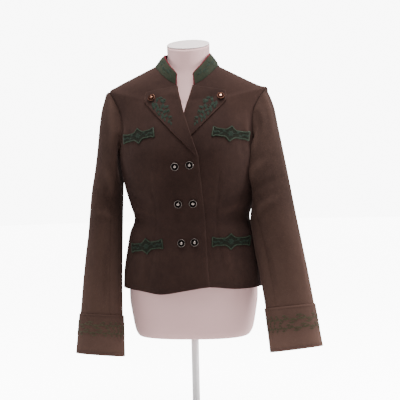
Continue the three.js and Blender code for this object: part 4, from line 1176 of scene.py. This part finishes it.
# Embroidery: leaves, stems and edging, drawn flat and then laid on a piece by its place function
def ridge_tube(pile, place, line, radius, lift=0.1, slot=0, sides=7):
    """A raised cord of thread along a flat line of (u, v) points."""
    line = np.asarray(line, float)
    radius = np.broadcast_to(np.asarray(radius, float), (len(line),))
    along = unit(np.gradient(line, axis=0))
    across = np.stack([-along[:, 1], along[:, 0]], -1)
    turn = np.linspace(0, 2 * np.pi, sides, endpoint=False)
    flat = line[:, None] + across[:, None] * (radius[:, None] * np.cos(turn)[None])[..., None]
    high = lift + radius[:, None] * np.sin(turn)[None] * 0.8
    points = place(flat[..., 0], flat[..., 1], high)
    rows, count = len(line), len(line) * sides
    number = np.arange(count).reshape(rows, sides)
    nxt = np.roll(number, -1, 1)
    faces = np.stack([number[:-1], nxt[:-1], nxt[1:], number[1:]], -1).reshape(-1, 4).tolist()
    faces += [number[0][::-1].tolist(), number[-1].tolist()]
    run = np.concatenate([[0], np.cumsum(np.linalg.norm(np.diff(line, axis=0), axis=1))])
    maps = np.stack([np.repeat(run[:, None], sides, 1), np.repeat(turn[None], rows, 0)], -1)
    pile.add(points.reshape(-1, 3), faces, maps, slot)


def leaf(pile, place, root, heading, length, width, bend=0.0, high=0.75, slot=0):
    """A satin-stitched leaf with a vein, from its root along a heading in degrees."""
    s, q = np.meshgrid(np.linspace(0.02, 0.98, 13), np.linspace(-1, 1, 9), indexing="ij")
    half = width / 2 * np.sin(np.pi * s**0.82) ** 0.85
    turn = math.radians(heading) + bend * s
    u = root[0] + length * s * np.cos(turn) - half * q * np.sin(turn)
    v = root[1] + length * s * np.sin(turn) + half * q * np.cos(turn)
    rise = high * (1 - q**2) ** 0.6 * (1 - 0.45 * bell(q, 0, 0.22)) * np.sin(np.pi * s) ** 0.35
    top, low = place(u, v, rise + 0.1), place(u, v, np.full(u.shape, -0.35))
    rows, columns = u.shape
    number = np.arange(rows * columns).reshape(rows, columns)
    a, b, c, d = number[:-1, :-1], number[:-1, 1:], number[1:, 1:], number[1:, :-1]
    faces = np.stack([a, b, c, d], -1).reshape(-1, 4).tolist()
    under = rows * columns
    faces += (np.stack([d, c, b, a], -1).reshape(-1, 4) + under).tolist()
    border = [number[place_at] for place_at in edge_loop(rows, columns)]
    for i, here in enumerate(border):
        after = border[(i + 1) % len(border)]
        faces.append([after, here, here + under, after + under])
    slant = np.stack([s * length + np.abs(q) * width * 0.6, q * width], -1)
    pile.add(np.concatenate([top.reshape(-1, 3), low.reshape(-1, 3)]), faces,
             np.concatenate([slant.reshape(-1, 2)] * 2), slot)


def bezier(points, count=40):
    """A smooth line through a few flat points."""
    points = np.asarray(points, float)
    at = np.linspace(0, len(points) - 1, count)
    return np.stack([spline_through(points[:, 0], at), spline_through(points[:, 1], at)], -1)


def spline_through(values, at):
    slope = np.gradient(values)
    low = np.clip(np.floor(at).astype(int), 0, len(values) - 2)
    s = at - low
    return ((2 * s**3 - 3 * s**2 + 1) * values[low] + (s**3 - 2 * s**2 + s) * slope[low]
            + (3 * s**2 - 2 * s**3) * values[low + 1] + (s**3 - s**2) * slope[low + 1])


def curl(start, heading, size, turns=1.1, way=1, count=30):
    """A tendril that winds in on itself."""
    share = np.linspace(0, 1, count)
    turn = math.radians(heading) + way * turns * 2 * np.pi * share**1.3
    step = size / count * 3.2 * (1 - 0.72 * share)
    return np.array(start) + np.cumsum(np.stack([np.cos(turn), np.sin(turn)], -1) * step[:, None], 0)


def blossom(pile, place, middle, radius, petals=6, slot=0):
    for index in range(petals):
        heading = 360 * index / petals + 12
        root = (middle[0] + 0.16 * radius * math.cos(math.radians(heading)),
                middle[1] + 0.16 * radius * math.sin(math.radians(heading)))
        leaf(pile, place, root, heading, radius * 0.84, radius * 0.62, 0.0, 0.7, slot)
    share = np.linspace(0, 2 * np.pi, 17)
    knot = np.stack([middle[0] + 0.12 * radius * np.cos(share), middle[1] + 0.12 * radius * np.sin(share)], -1)
    ridge_tube(pile, place, knot, 0.55, 0.55, slot)


def lapel_spray(side, name):
    """A leafy spray that runs down the lapel from below its stud."""
    pile, place = Pile(), lapel_top(side)
    inner = bezier([(66, 771), (54, 765), (47, 752), (41, 738), (35, 725), (29, 712)], 60)
    outer = bezier([(74, 762), (67, 753), (59, 743), (51, 731), (43, 720)], 60)
    for stem in (inner, outer):
        ridge_tube(pile, place, stem, np.linspace(0.7, 0.45, 60), 0.25)
    for stem, leaves in (
        (inner, ((2, 250, 11, 6.5, 0.5), (6, 150, 11, 6.5, 0.5), (11, 240, 13, 7.5, -0.5), (16, 130, 10, 6, 0.5),
                 (21, 262, 13, 7.5, 0.5), (27, 205, 12, 6.5, -0.6), (33, 275, 12, 7, 0.4), (38, 160, 10, 6, -0.4),
                 (43, 290, 11, 6, 0.4), (48, 200, 10, 5.5, -0.4), (54, 265, 10, 5, 0.3), (59, 235, 9, 4.6, 0.3))),
        (outer, ((2, 285, 11, 6.5, -0.4), (8, 190, 12, 7, 0.5), (14, 310, 11, 6, -0.5), (20, 215, 13, 7, 0.4),
                 (26, 300, 11, 6, -0.4), (32, 175, 12, 6.5, 0.5), (38, 300, 10, 5.5, -0.4), (44, 215, 11, 6, 0.4),
                 (50, 290, 9, 5, -0.3), (58, 240, 9, 4.6, 0.3)))):
        for index, heading, length, width, bend in leaves:
            leaf(pile, place, stem[index], heading, length, width, bend)
    for index, heading, size, way in ((8, 60, 7, -1), (20, 170, 9, -1), (31, 150, 9, 1), (42, 170, 9, -1),
                                      (52, 150, 8, 1)):
        ridge_tube(pile, place, curl(inner[index], heading, size, 0.9, way), 0.42, 0.75, 1)
    for index, heading, size, way in ((12, 250, 9, 1), (24, 200, 9, -1), (36, 250, 8, 1)):
        ridge_tube(pile, place, curl(outer[index], heading, size, 0.9, way), 0.42, 0.75, 1)
    return pile.make(f"lapel_{name}_embroidery", [THREAD, PALE_THREAD])


def vine(pile, place, length, middle, swing, wave, leaf_size, slots=(0, 1), curls=True, radius=0.5):
    """A waving stem with a leaf in each bend, from 0 to length along u."""
    count = int(length / 1.6)
    u = np.linspace(0, length, count)
    v = middle + swing * np.sin(2 * np.pi * u / wave)
    ridge_tube(pile, place, np.stack([u, v], -1), radius, 0.2, slots[1])
    bends = np.arange(wave / 4, length - leaf_size * 0.5, wave / 2)
    for index, at in enumerate(bends):
        up = 1 if index % 2 == 0 else -1
        root = (at - wave * 0.16, middle + swing * math.sin(2 * math.pi * (at - wave * 0.16) / wave))
        leaf(pile, place, root, -up * 62, leaf_size, leaf_size * 0.5, up * 0.9, 0.7, slots[0])
        leaf(pile, place, (at, middle + up * swing), up * 28, leaf_size * 0.8, leaf_size * 0.4,
             -up * 0.6, 0.7, slots[index % 2])
        if curls:
            ridge_tube(pile, place, curl((at + wave * 0.1, middle + up * swing * 0.7), -up * 50,
                                         leaf_size * 0.6, 0.9, -up), radius * 0.8, 0.15, slots[1])


def collar_embroidery():
    pile = Pile()
    around = 345.0

    def place(u, v, high):
        return collar_surface(np.clip(0.025 + 0.95 * u / around, 0.005, 0.995), v / 34, high)
    vine(pile, place, around, 18, 7.5, 27, 11, (0, 1), True, 0.5)
    return pile.make("collar_embroidery", [THREAD, PALE_THREAD])


def cuff_embroidery(name):
    pile, sleeve = Pile(), SLEEVES[name]
    top = CUFF_TOP[name]
    ring = sleeve.surface(np.full(200, (top + SLEEVE_END) / 2), np.linspace(0, 20, 200), CUFF_OUT)
    around = np.linalg.norm(np.diff(ring, axis=0), axis=1).sum()
    tall = 100.0 if name == "right" else 98.0

    def place(u, v, high):
        row = SLEEVE_END - (SLEEVE_END - top) * v / tall
        return sleeve.surface(row, 20 * u / around, CUFF_OUT + high)
    vine(pile, place, around, 72, 7, around / 14, 10.5, (0, 0), True, 0.5)
    vine(pile, place, around, 53, 6, around / 15, 9.5, (0, 0), True, 0.5)
    return pile.make(f"cuff_{name}_embroidery", [CUFF_THREAD])


def motif_embroidery(kind, side, name):
    """Satin edging round the motif and a small vine inside it."""
    pile, place = Pile(), motif_top(kind, side)
    length = MOTIFS[side][kind][2]
    inset = 1.3
    at = np.linspace(-1, 1, 110)
    upper = np.stack([at * (length / 2 - inset), motif_half(at) - inset], -1)
    lower = np.stack([at * (length / 2 - inset), -motif_half(at) + inset], -1)[::-1]
    rim = np.concatenate([upper, lower, upper[:1]])

    def raised(u, v, high):
        return place(u, v, MOTIF_CLOTH + high)
    ridge_tube(pile, raised, rim, 1.2, 0.1, 1, 9)
    blossom(pile, raised, (0, 0), 7.0)
    for way in (-1, 1):
        stem = bezier([(way * 6, 0), (way * 14, 2.5), (way * 22, -2), (way * 31, 1.5), (way * 36, 0)], 40)
        ridge_tube(pile, raised, stem, 0.45, 0.2)
        for index, turn, size in ((8, 50, 8), (15, -55, 8), (22, 48, 8), (29, -50, 8), (37, 15, 6)):
            heading = turn if way > 0 else 180 - turn
            leaf(pile, raised, stem[index], heading, size, size * 0.5, -way * turn / 120, 0.6)
    return pile.make(f"motif_{kind}_{name}_embroidery", [THREAD, PALE_THREAD])


# Topstitching: a run of stitches is laid along sewing lines by a geometry node tree
def stitch_tree():
    tree = bpy.data.node_groups.new("Run of stitches", "GeometryNodeTree")
    face = tree.interface
    face.new_socket("Sewing lines", in_out="INPUT", socket_type="NodeSocketGeometry")
    for label, value in (("Stitch pitch", 0.0034), ("Stitch length", 0.0027), ("Thread thickness", 0.0006),
                         ("Unevenness", 0.12)):
        face.new_socket(label, in_out="INPUT", socket_type="NodeSocketFloat").default_value = value
    face.new_socket("Seed", in_out="INPUT", socket_type="NodeSocketInt").default_value = 7
    face.new_socket("Thread", in_out="INPUT", socket_type="NodeSocketMaterial")
    face.new_socket("Stitches", in_out="OUTPUT", socket_type="NodeSocketGeometry")
    nodes = tree.nodes
    given, out = nodes.new("NodeGroupInput"), nodes.new("NodeGroupOutput")
    curve, spaced = nodes.new("GeometryNodeMeshToCurve"), nodes.new("GeometryNodeResampleCurve")
    spaced.mode = "LENGTH"
    link(tree, given.outputs["Sewing lines"], curve.inputs["Mesh"])
    link(tree, curve.outputs["Curve"], spaced.inputs["Curve"])
    link(tree, given.outputs["Stitch pitch"], spaced.inputs["Length"])
    bead = nodes.new("GeometryNodeMeshUVSphere")
    bead.inputs["Segments"].default_value, bead.inputs["Rings"].default_value = 6, 5
    bead.inputs["Radius"].default_value = 0.5
    tangent, read = nodes.new("GeometryNodeInputTangent"), nodes.new("GeometryNodeInputNamedAttribute")
    read.data_type = "FLOAT_VECTOR"
    read.inputs["Name"].default_value = "outward"
    lengthwise, upright = (nodes.new("FunctionNodeAlignRotationToVector") for _ in range(2))
    lengthwise.axis, upright.axis, upright.pivot_axis = "X", "Z", "X"
    link(tree, tangent.outputs["Tangent"], lengthwise.inputs["Vector"])
    link(tree, lengthwise.outputs["Rotation"], upright.inputs["Rotation"])
    link(tree, read.outputs["Attribute"], upright.inputs["Vector"])
    chance = nodes.new("FunctionNodeRandomValue")
    chance.data_type = "FLOAT"
    link(tree, given.outputs["Seed"], chance.inputs["Seed"])
    spread = math_node(tree, "MULTIPLY", given.outputs["Unevenness"], 1.0)
    low, high = math_node(tree, "SUBTRACT", 1.0, spread), math_node(tree, "ADD", 1.0, spread)
    numbers = [s for s in chance.inputs if s.type == "VALUE"]
    link(tree, low, numbers[0])
    link(tree, high, numbers[1])
    varied = next(s for s in chance.outputs if s.type == "VALUE")
    size = nodes.new("ShaderNodeCombineXYZ")
    link(tree, math_node(tree, "MULTIPLY", given.outputs["Stitch length"], varied), size.inputs["X"])
    link(tree, given.outputs["Thread thickness"], size.inputs["Y"])
    link(tree, given.outputs["Thread thickness"], size.inputs["Z"])
    put = nodes.new("GeometryNodeInstanceOnPoints")
    link(tree, spaced.outputs["Curve"], put.inputs["Points"])
    link(tree, bead.outputs["Mesh"], put.inputs["Instance"])
    link(tree, upright.outputs["Rotation"], put.inputs["Rotation"])
    link(tree, size.outputs["Vector"], put.inputs["Scale"])
    real, paint = nodes.new("GeometryNodeRealizeInstances"), nodes.new("GeometryNodeSetMaterial")
    link(tree, put.outputs["Instances"], real.inputs["Geometry"])
    link(tree, real.outputs["Geometry"], paint.inputs["Geometry"])
    link(tree, given.outputs["Thread"], paint.inputs["Material"])
    link(tree, paint.outputs["Geometry"], out.inputs["Stitches"])
    return tree


STITCHES = stitch_tree()


def stitched(name, lines, thread=None, seed=7, pitch=0.0034):
    """Stitches along lines, each a pair of (points, normals) in millimetres."""
    points, normals, edges, count = [], [], [], 0
    for line, normal in lines:
        points.append(line * MM)
        normals.append(normal)
        edges += [(count + i, count + i + 1) for i in range(len(line) - 1)]
        count += len(line)
    mesh = bpy.data.meshes.new(name + "_lines")
    mesh.from_pydata(np.concatenate(points).tolist(), edges, [])
    way = mesh.attributes.new("outward", "FLOAT_VECTOR", "POINT")
    way.data.foreach_set("vector", np.concatenate(normals).astype(np.float32).ravel())
    guide = bpy.data.objects.new(name + "_lines", mesh)
    bpy.context.scene.collection.objects.link(guide)
    run = guide.modifiers.new("Stitches", "NODES")
    run.node_group = STITCHES
    named = {item.name: item.identifier for item in STITCHES.interface.items_tree if item.in_out == "INPUT"}
    run[named["Stitch pitch"]] = pitch
    run[named["Seed"]] = seed
    run[named["Thread"]] = thread or STITCH_THREAD
    shown = guide.evaluated_get(bpy.context.evaluated_depsgraph_get())
    final = bpy.data.meshes.new_from_object(shown)
    final.name = name
    final.polygons.foreach_set("use_smooth", np.ones(len(final.polygons), bool))
    bpy.data.objects.remove(guide)
    piece = bpy.data.objects.new(name, final)
    bpy.context.scene.collection.objects.link(piece)
    return piece


def sewing_line(place, first, second, high):
    """Points and normals along a line on a surface that place(first, second, height) gives."""
    low = place(first, second, np.full(np.shape(first), high))
    top = place(first, second, np.full(np.shape(first), high + 1.0))
    return low, unit(top - low)


def front_stitches(side, name):
    rows = np.linspace(0.18, 14, 150)
    lapped = side < 0

    def place(angle, row, high):
        return on_body(angle, row, high, lapped)
    below = rows[at_row(BODY, rows)["z_front"] < BREAK_HEIGHT - 6]
    lines = []
    for inset in (6.0, 7.8):
        turn = np.degrees(inset / at_row(BODY, below)["front"])
        lines.append(sewing_line(place, -side * (edge_angle(below) - turn), below, 0.12))
    hem = np.full(90, 0.3)
    start, end = -side * (edge_angle(hem[:1])[0] - 4), side * 89
    lines.append(sewing_line(place, np.linspace(start, end, 90), hem, 0.12))
    if side < 0:
        lines = lines[1:]
    return stitched(f"front_{name}_stitches", lines, seed=5 + side)


def back_stitches(side, name):
    def place(angle, row, high):
        return on_body(angle, row, high)
    hem = np.full(90, 0.3)
    return stitched(f"back_{name}_stitches",
                    [sewing_line(place, np.linspace(side * 91, side * 179, 90), hem, 0.12)], seed=12 + side)


def lapel_stitches(side, name):
    share = np.concatenate([np.linspace(0.03, LOWER_SHARE - 0.01, 90), np.linspace(LOWER_SHARE, 0.985, 24)])

    def place(at, reach, high):
        return lapel_surface(side, at, reach, CLOTH + high)
    width = np.linalg.norm(place(share, 1.0 * np.ones_like(share), 0) - place(share, np.zeros_like(share), 0),
                           axis=1)
    keep = width > 12
    reach = 1 - 3.4 / width[keep]
    return stitched(f"lapel_{name}_stitches", [sewing_line(place, share[keep], reach, 0.0)], seed=20 + side)


def collar_stitches():
    share = np.linspace(0.02, 0.98, 260)
    lines = [sewing_line(collar_surface, share, np.full(260, 0.94), 0.1),
             sewing_line(collar_surface, share, np.full(260, 0.07), 0.1)]
    return stitched("collar_stitches", lines, THREAD, 31)


def cuff_stitches(name):
    sleeve = SLEEVES[name]
    columns = np.linspace(0, 20, 160)
    top = CUFF_TOP[name]
    tall = SLEEVE_END - top

    def place(row, column, high):
        return sleeve.surface(row, column, CUFF_OUT + high)
    lines = [sewing_line(place, np.full(160, row), columns, 0.1)
             for row in (top + 0.04 * tall, SLEEVE_END - 0.05 * tall, SLEEVE_END - 0.075 * tall)]
    return stitched(f"cuff_{name}_stitches", lines, seed=41)


# Buttons and studs
BUTTON_LINE = [
    (0, 0), (1.5, 0), (1.7, 0.25), (1.7, 1.8), (2.3, 2.1), (6.9, 2.2), (8.3, 2.55), (8.95, 3.1), (9.0, 3.6),
    (8.85, 4.0), (8.55, 4.2), (8.25, 4.18), (8.0, 3.95), (7.4, 3.5), (6.2, 3.1), (5.0, 2.9), (4.2, 2.9),
    (3.7, 3.2), (3.3, 3.9), (2.9, 4.52), (2.3, 4.96), (1.5, 5.26), (0.8, 5.38), (0, 5.4),
]


def turned_piece(name, line, seat, normal, material, lobes=0, depth=0.0, hollow=None, sides=72):
    """A round piece turned from an outline of (radius, rise) that stands along a normal."""
    up = unit(np.asarray(normal, float))
    side = unit(np.cross([0.0, 1.0, 0.3], up))
    other = np.cross(up, side)
    turn = np.linspace(0, 2 * np.pi, sides, endpoint=False)
    points, values, rings = [], [], []
    for radius, rise in line:
        value = 0.0 if hollow is None else hollow(radius, rise)
        if radius == 0:
            rings.append([len(points)] * sides)
            points.append(seat + up * rise)
            values.append(value)
            continue
        wave = 1 + depth * np.cos(lobes * turn) * smooth(4.5, 7.5, radius)
        ring = seat + up * rise + (side * np.cos(turn)[:, None] + other * np.sin(turn)[:, None]) * (
            radius * wave)[:, None]
        rings.append(list(range(len(points), len(points) + sides)))
        points += list(ring)
        values += [value] * sides
    faces = []
    for low, high in zip(rings[:-1], rings[1:]):
        for i in range(sides):
            j = (i + 1) % sides
            face = [low[i], low[j], high[j], high[i]]
            faces.append(list(dict.fromkeys(face)))
    pile = Pile()
    pile.add(np.array(points), faces, None, 0, values)
    return pile.make(name, [material], "hollow")


def button_hollow(radius, rise):
    dish = smooth(2.6, 3.6, radius) * (1 - 0.7 * smooth(7.9, 8.4, radius))
    return float(dish) if rise > 2.85 else 0.8


def seat_on_front(x, z, out, lapped):
    around = on_front(np.array([x, x - 4, x + 4, x, x]), np.array([z, z, z, z - 4, z + 4]), out, lapped)
    return around[0], np.cross(around[2] - around[1], around[4] - around[3])


BUTTON_ROWS = [
    (616, -19, 15, 2.5, 0.35, 0.65),
    (527.5, -16, 18, 0.5, 0.1, 0.1),
    (437, -10, 20, 1.5, 0.3, 0.1),
]


def buttons():
    made = []
    for index, (z, right, left, drop, sink_right, sink_left) in enumerate(BUTTON_ROWS, 1):
        for name, x, at, sink in (("right", right, z - drop, sink_right), ("left", left, z, sink_left)):
            seat, normal = seat_on_front(x, at, LAYER_GAP - sink, True)
            node = f"button_{name}_{index}"
            made.append((turned_piece(node + "_metal", BUTTON_LINE, seat, normal, SILVER, 40, 0.012,
                                      button_hollow), node))
    return made


def stud_hollow(radius, rise):
    ring = smooth(2.4, 3.4, radius) * (1 - 0.35 * smooth(6.6, 8.0, radius))
    return float(ring) if rise > 2.9 else 0.8


def studs():
    made = []
    line = [(0, 0), (1.5, 0), (1.7, 1.9), (6.5, 2.1), (8.6, 2.7), (8.9, 3.3), (8.4, 3.9), (7.2, 4.0),
            (6.0, 3.5), (5.0, 3.2), (4.2, 3.5), (3.9, 4.3), (3.2, 4.9), (2.0, 5.25), (1.0, 5.38), (0, 5.4)]
    for side, name, across in ((-1, "right", 77), (1, "left", 83)):
        seat, normal = seat_on_front(side * across, 771, LAPEL_GAP + CLOTH + LAYER_GAP, side < 0)
        node = f"stud_lapel_{name}"
        made.append((turned_piece(node + "_metal", line, seat, normal, COPPER, 8, 0.07,
                                  stud_hollow), node))
    return made


# Dress form and stand
def form_surface(angle, row):
    point = ring_point(at_row(FORM, row), angle)
    hidden = smooth(0.5, 2, row) * (1 - smooth(13.2, 14.6, row))
    shrink = 1 - 2.2 * hidden / 150
    point[..., :2] *= shrink[..., None]
    point[..., 2] -= 1.6 * smooth(11.5, 13, row) * (1 - smooth(15.2, 16.2, row)) * (
        np.abs(np.sin(np.radians(angle))) ** 2)
    return point


def form_pieces():
    rows = np.concatenate([np.linspace(0, 2, 13), np.linspace(2, 18, 150)[1:]])
    row, angle = np.meshgrid(rows, np.linspace(0, 360, 145)[:-1], indexing="ij")
    points = form_surface(angle, row)
    count, sides = row.shape
    number = np.arange(count * sides).reshape(count, sides)
    after = np.roll(number, -1, 1)
    faces = np.stack([number[:-1], after[:-1], after[1:], number[1:]], -1).reshape(-1, 4).tolist()
    caps = [points[0], points[-1]]
    flat = [points.reshape(-1, 3)]
    start = count * sides
    for rim, ring in ((number[0], caps[0]), (number[-1], caps[1])):
        middle = ring.mean(0)
        inner = middle + (ring - middle) * 0.5
        flat += [inner, middle[None]]
        for i in range(sides):
            j = (i + 1) % sides
            quad, tri = [rim[i], rim[j], start + j, start + i], [start + i, start + j, start + sides]
            top = rim is number[-1] or rim[0] == number[-1][0]
            faces += [quad, tri] if top else [quad[::-1], tri[::-1]]
        start += sides + 1
    pile = Pile()
    pile.add(np.concatenate(flat), faces)
    torso = pile.make("form_torso_cover", [COVER])
    ring = at_row(FORM, np.array(18.0))
    slant = math.atan2(ring["z_back"] - ring["z_front"], ring["front"] + ring["back"])
    up = np.array([0, -math.sin(slant), math.cos(slant)])
    seat = np.array([0, 0, (ring["z_front"] + ring["z_back"]) / 2]) + up * SEAM_GAP
    line = [(0, 0), (47, 0), (49.6, 0.5), (50.7, 1.5), (50.6, 2.5), (49.6, 3.4), (47.5, 3.9), (30, 4.0), (0, 4.0)]
    cap = turned_piece("form_neck_cap", line, seat, up, CAP, sides=96)
    return torso, cap


def stand_pieces():
    up, floor = np.array([0, 0, 1.0]), np.zeros(3)
    pole = turned_piece("stand_pole_steel", [(0, 14.3), (8.6, 14.3), (9, 14.8), (9, 207.3), (8.7, 207.7),
                                             (0, 207.7)], floor, up, PAINT, sides=64)
    foot = turned_piece("stand_foot_steel", [
        (0, 0), (143.5, 0), (145, 1.2), (145, 4.2), (143.8, 5.8), (141, 7), (120, 7.9), (80, 8.8), (40, 9.7),
        (26, 10.1), (23, 10.7), (21.5, 12.2), (20, 13.6), (18, 14), (0, 14)], floor, up, PAINT, sides=128)
    return pole, foot


# Assemble the jacket
def hand_over(piece, node, size=None, with_pieces=()):
    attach(piece, "root")
    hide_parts(node)
    for extra in with_pieces:
        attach(extra, "root")
    if size:
        width, length, area = size
        CUTS[node] = (round(width, 4), round(length, 4), round(area, 5))


CUTS = {}


def dress():
    torso, cap = form_pieces()
    hand_over(torso, "form_torso")
    hand_over(cap, "form_neck_plate")
    pole, foot = stand_pieces()
    hand_over(pole, "stand_pole")
    hand_over(foot, "stand_foot")
    metal = buttons()
    for piece, node in metal:
        hand_over(piece, node)
    for piece, node in studs():
        hand_over(piece, node)
    for name, side in SIDES.items():
        piece, size = front_piece(side, name)
        sewn = front_stitches(side, name)
        hand_over(piece, f"front_{name}", size, [sewn])
        piece, size = back_piece(side, name)
        sewn = back_stitches(side, name)
        hand_over(piece, f"back_{name}", size, [sewn])
        for piece, size, node in sleeve_pieces(name):
            hand_over(piece, node, size)
        piece, size = cuff_piece(name)
        sewn, worked = cuff_stitches(name), cuff_embroidery(name)
        hand_over(piece, f"cuff_{name}", size,
                  [sewn, worked])
        piece, size = lapel_piece(side, name)
        sewn, worked = lapel_stitches(side, name), lapel_spray(side, name)
        hand_over(piece, f"lapel_{name}", size, [sewn, worked])
        for kind in MOTIFS[side]:
            piece, size = motif_piece(kind, side, name)
            worked = motif_embroidery(kind, side, name)
            hand_over(piece, f"motif_{kind}_{name}", size,
                      [worked])
    piece, size = collar_piece()
    sewn, worked = collar_stitches(), collar_embroidery()
    hand_over(piece, "collar", size,
              [sewn, worked])


dress()


# Studio: pale floor, soft lights and the camera at the photograph's angle
def studio():
    pile = Pile()
    turn = np.linspace(0, 2 * np.pi, 96, endpoint=False)
    rings = [np.stack([r * np.cos(turn), r * np.sin(turn), np.full(96, z)], -1)
             for r, z in ((1500, -1.0), (9000, -1.0), (9000, -30.0), (1500, -30.0))]
    points = np.concatenate([*rings, [[0, 0, -1.0], [0, 0, -30.0]]])
    faces = []
    for i in range(96):
        j = (i + 1) % 96
        faces += [[i, j, 384], [96 + i, 96 + j, j, i], [192 + i, 192 + j, 96 + j, 96 + i],
                  [288 + i, 288 + j, 192 + j, 192 + i], [385, 288 + j, 288 + i]]
    pile.add(points, faces)
    floor = pile.make("studio_floor", [FLOOR_PAINT])
    glow = FLOOR_PAINT.node_tree
    ray = glow.nodes.new("ShaderNodeLightPath")
    paint = glow.nodes["Principled BSDF"]
    paint.inputs["Emission Color"].default_value = (1, 1, 1, 1)
    link(glow, math_node(glow, "ADD", 0.15, math_node(glow, "MULTIPLY", ray.outputs["Is Camera Ray"], 9.5)),
         paint.inputs["Emission Strength"])

    def softbox(name, place, aim, size, watts, tint=(1, 1, 1)):
        lamp = bpy.data.lights.new(name, "AREA")
        lamp.shape, lamp.size, lamp.size_y = "RECTANGLE", size[0], size[1]
        lamp.energy, lamp.color = watts, tint
        box = bpy.data.objects.new(name, lamp)
        box.location = place
        box.rotation_euler = (Vector(aim) - Vector(place)).to_track_quat("-Z", "Y").to_euler()
        bpy.context.scene.collection.objects.link(box)

    softbox("key_above", (0.15, -0.3, 2.3), (0, 0, 0.75), (1.2, 0.9), 80)
    softbox("side_left", (1.9, 0.15, 0.5), (0.2, 0, 0.25), (0.8, 1.0), 50)
    softbox("side_right", (-1.9, 0.0, 0.55), (-0.2, 0, 0.3), (0.8, 1.0), 20)
    softbox("front_fill", (0.1, -3.4, 0.9), (0, 0, 0.45), (2.0, 1.2), 14)

    world = bpy.data.worlds.new("White room")
    bpy.context.scene.world = world
    world.use_nodes = True
    ground = world.node_tree.nodes["Background"]
    ground.inputs["Color"].default_value = (1, 1, 1, 1)
    ground.inputs["Strength"].default_value = 0.32
    seen = world.node_tree.nodes.new("ShaderNodeBackground")
    seen.inputs["Strength"].default_value = 11.0
    ray = world.node_tree.nodes.new("ShaderNodeLightPath")
    either = world.node_tree.nodes.new("ShaderNodeMixShader")
    link(world.node_tree, ray.outputs["Is Camera Ray"], either.inputs["Fac"])
    link(world.node_tree, ground.outputs[0], either.inputs[1])
    link(world.node_tree, seen.outputs[0], either.inputs[2])
    link(world.node_tree, either.outputs[0], world.node_tree.nodes["World Output"].inputs["Surface"])

    turn, lift, roll, distance = math.radians(7.5), math.radians(2.0), math.radians(1.316), 2.55
    back = Vector((math.sin(turn) * math.cos(lift), -math.cos(turn) * math.cos(lift), math.sin(lift)))
    level = Vector((math.cos(turn), math.sin(turn), 0))
    above = back.cross(level)
    right = level * math.cos(roll) - above * math.sin(roll)
    up = above * math.cos(roll) + level * math.sin(roll)
    target = level * 0.0197 + Vector((0, 0, 0.531))
    lens = bpy.data.cameras.new("photo_view")
    lens.lens, lens.sensor_width, lens.clip_end = 95.625, 36, 40
    camera = bpy.data.objects.new("photo_view", lens)
    frame_axes = Matrix((right, up, back)).transposed().to_4x4()
    camera.matrix_world = Matrix.Translation(target + back * distance) @ frame_axes
    bpy.context.scene.collection.objects.link(camera)
    bpy.context.scene.camera = camera


studio()
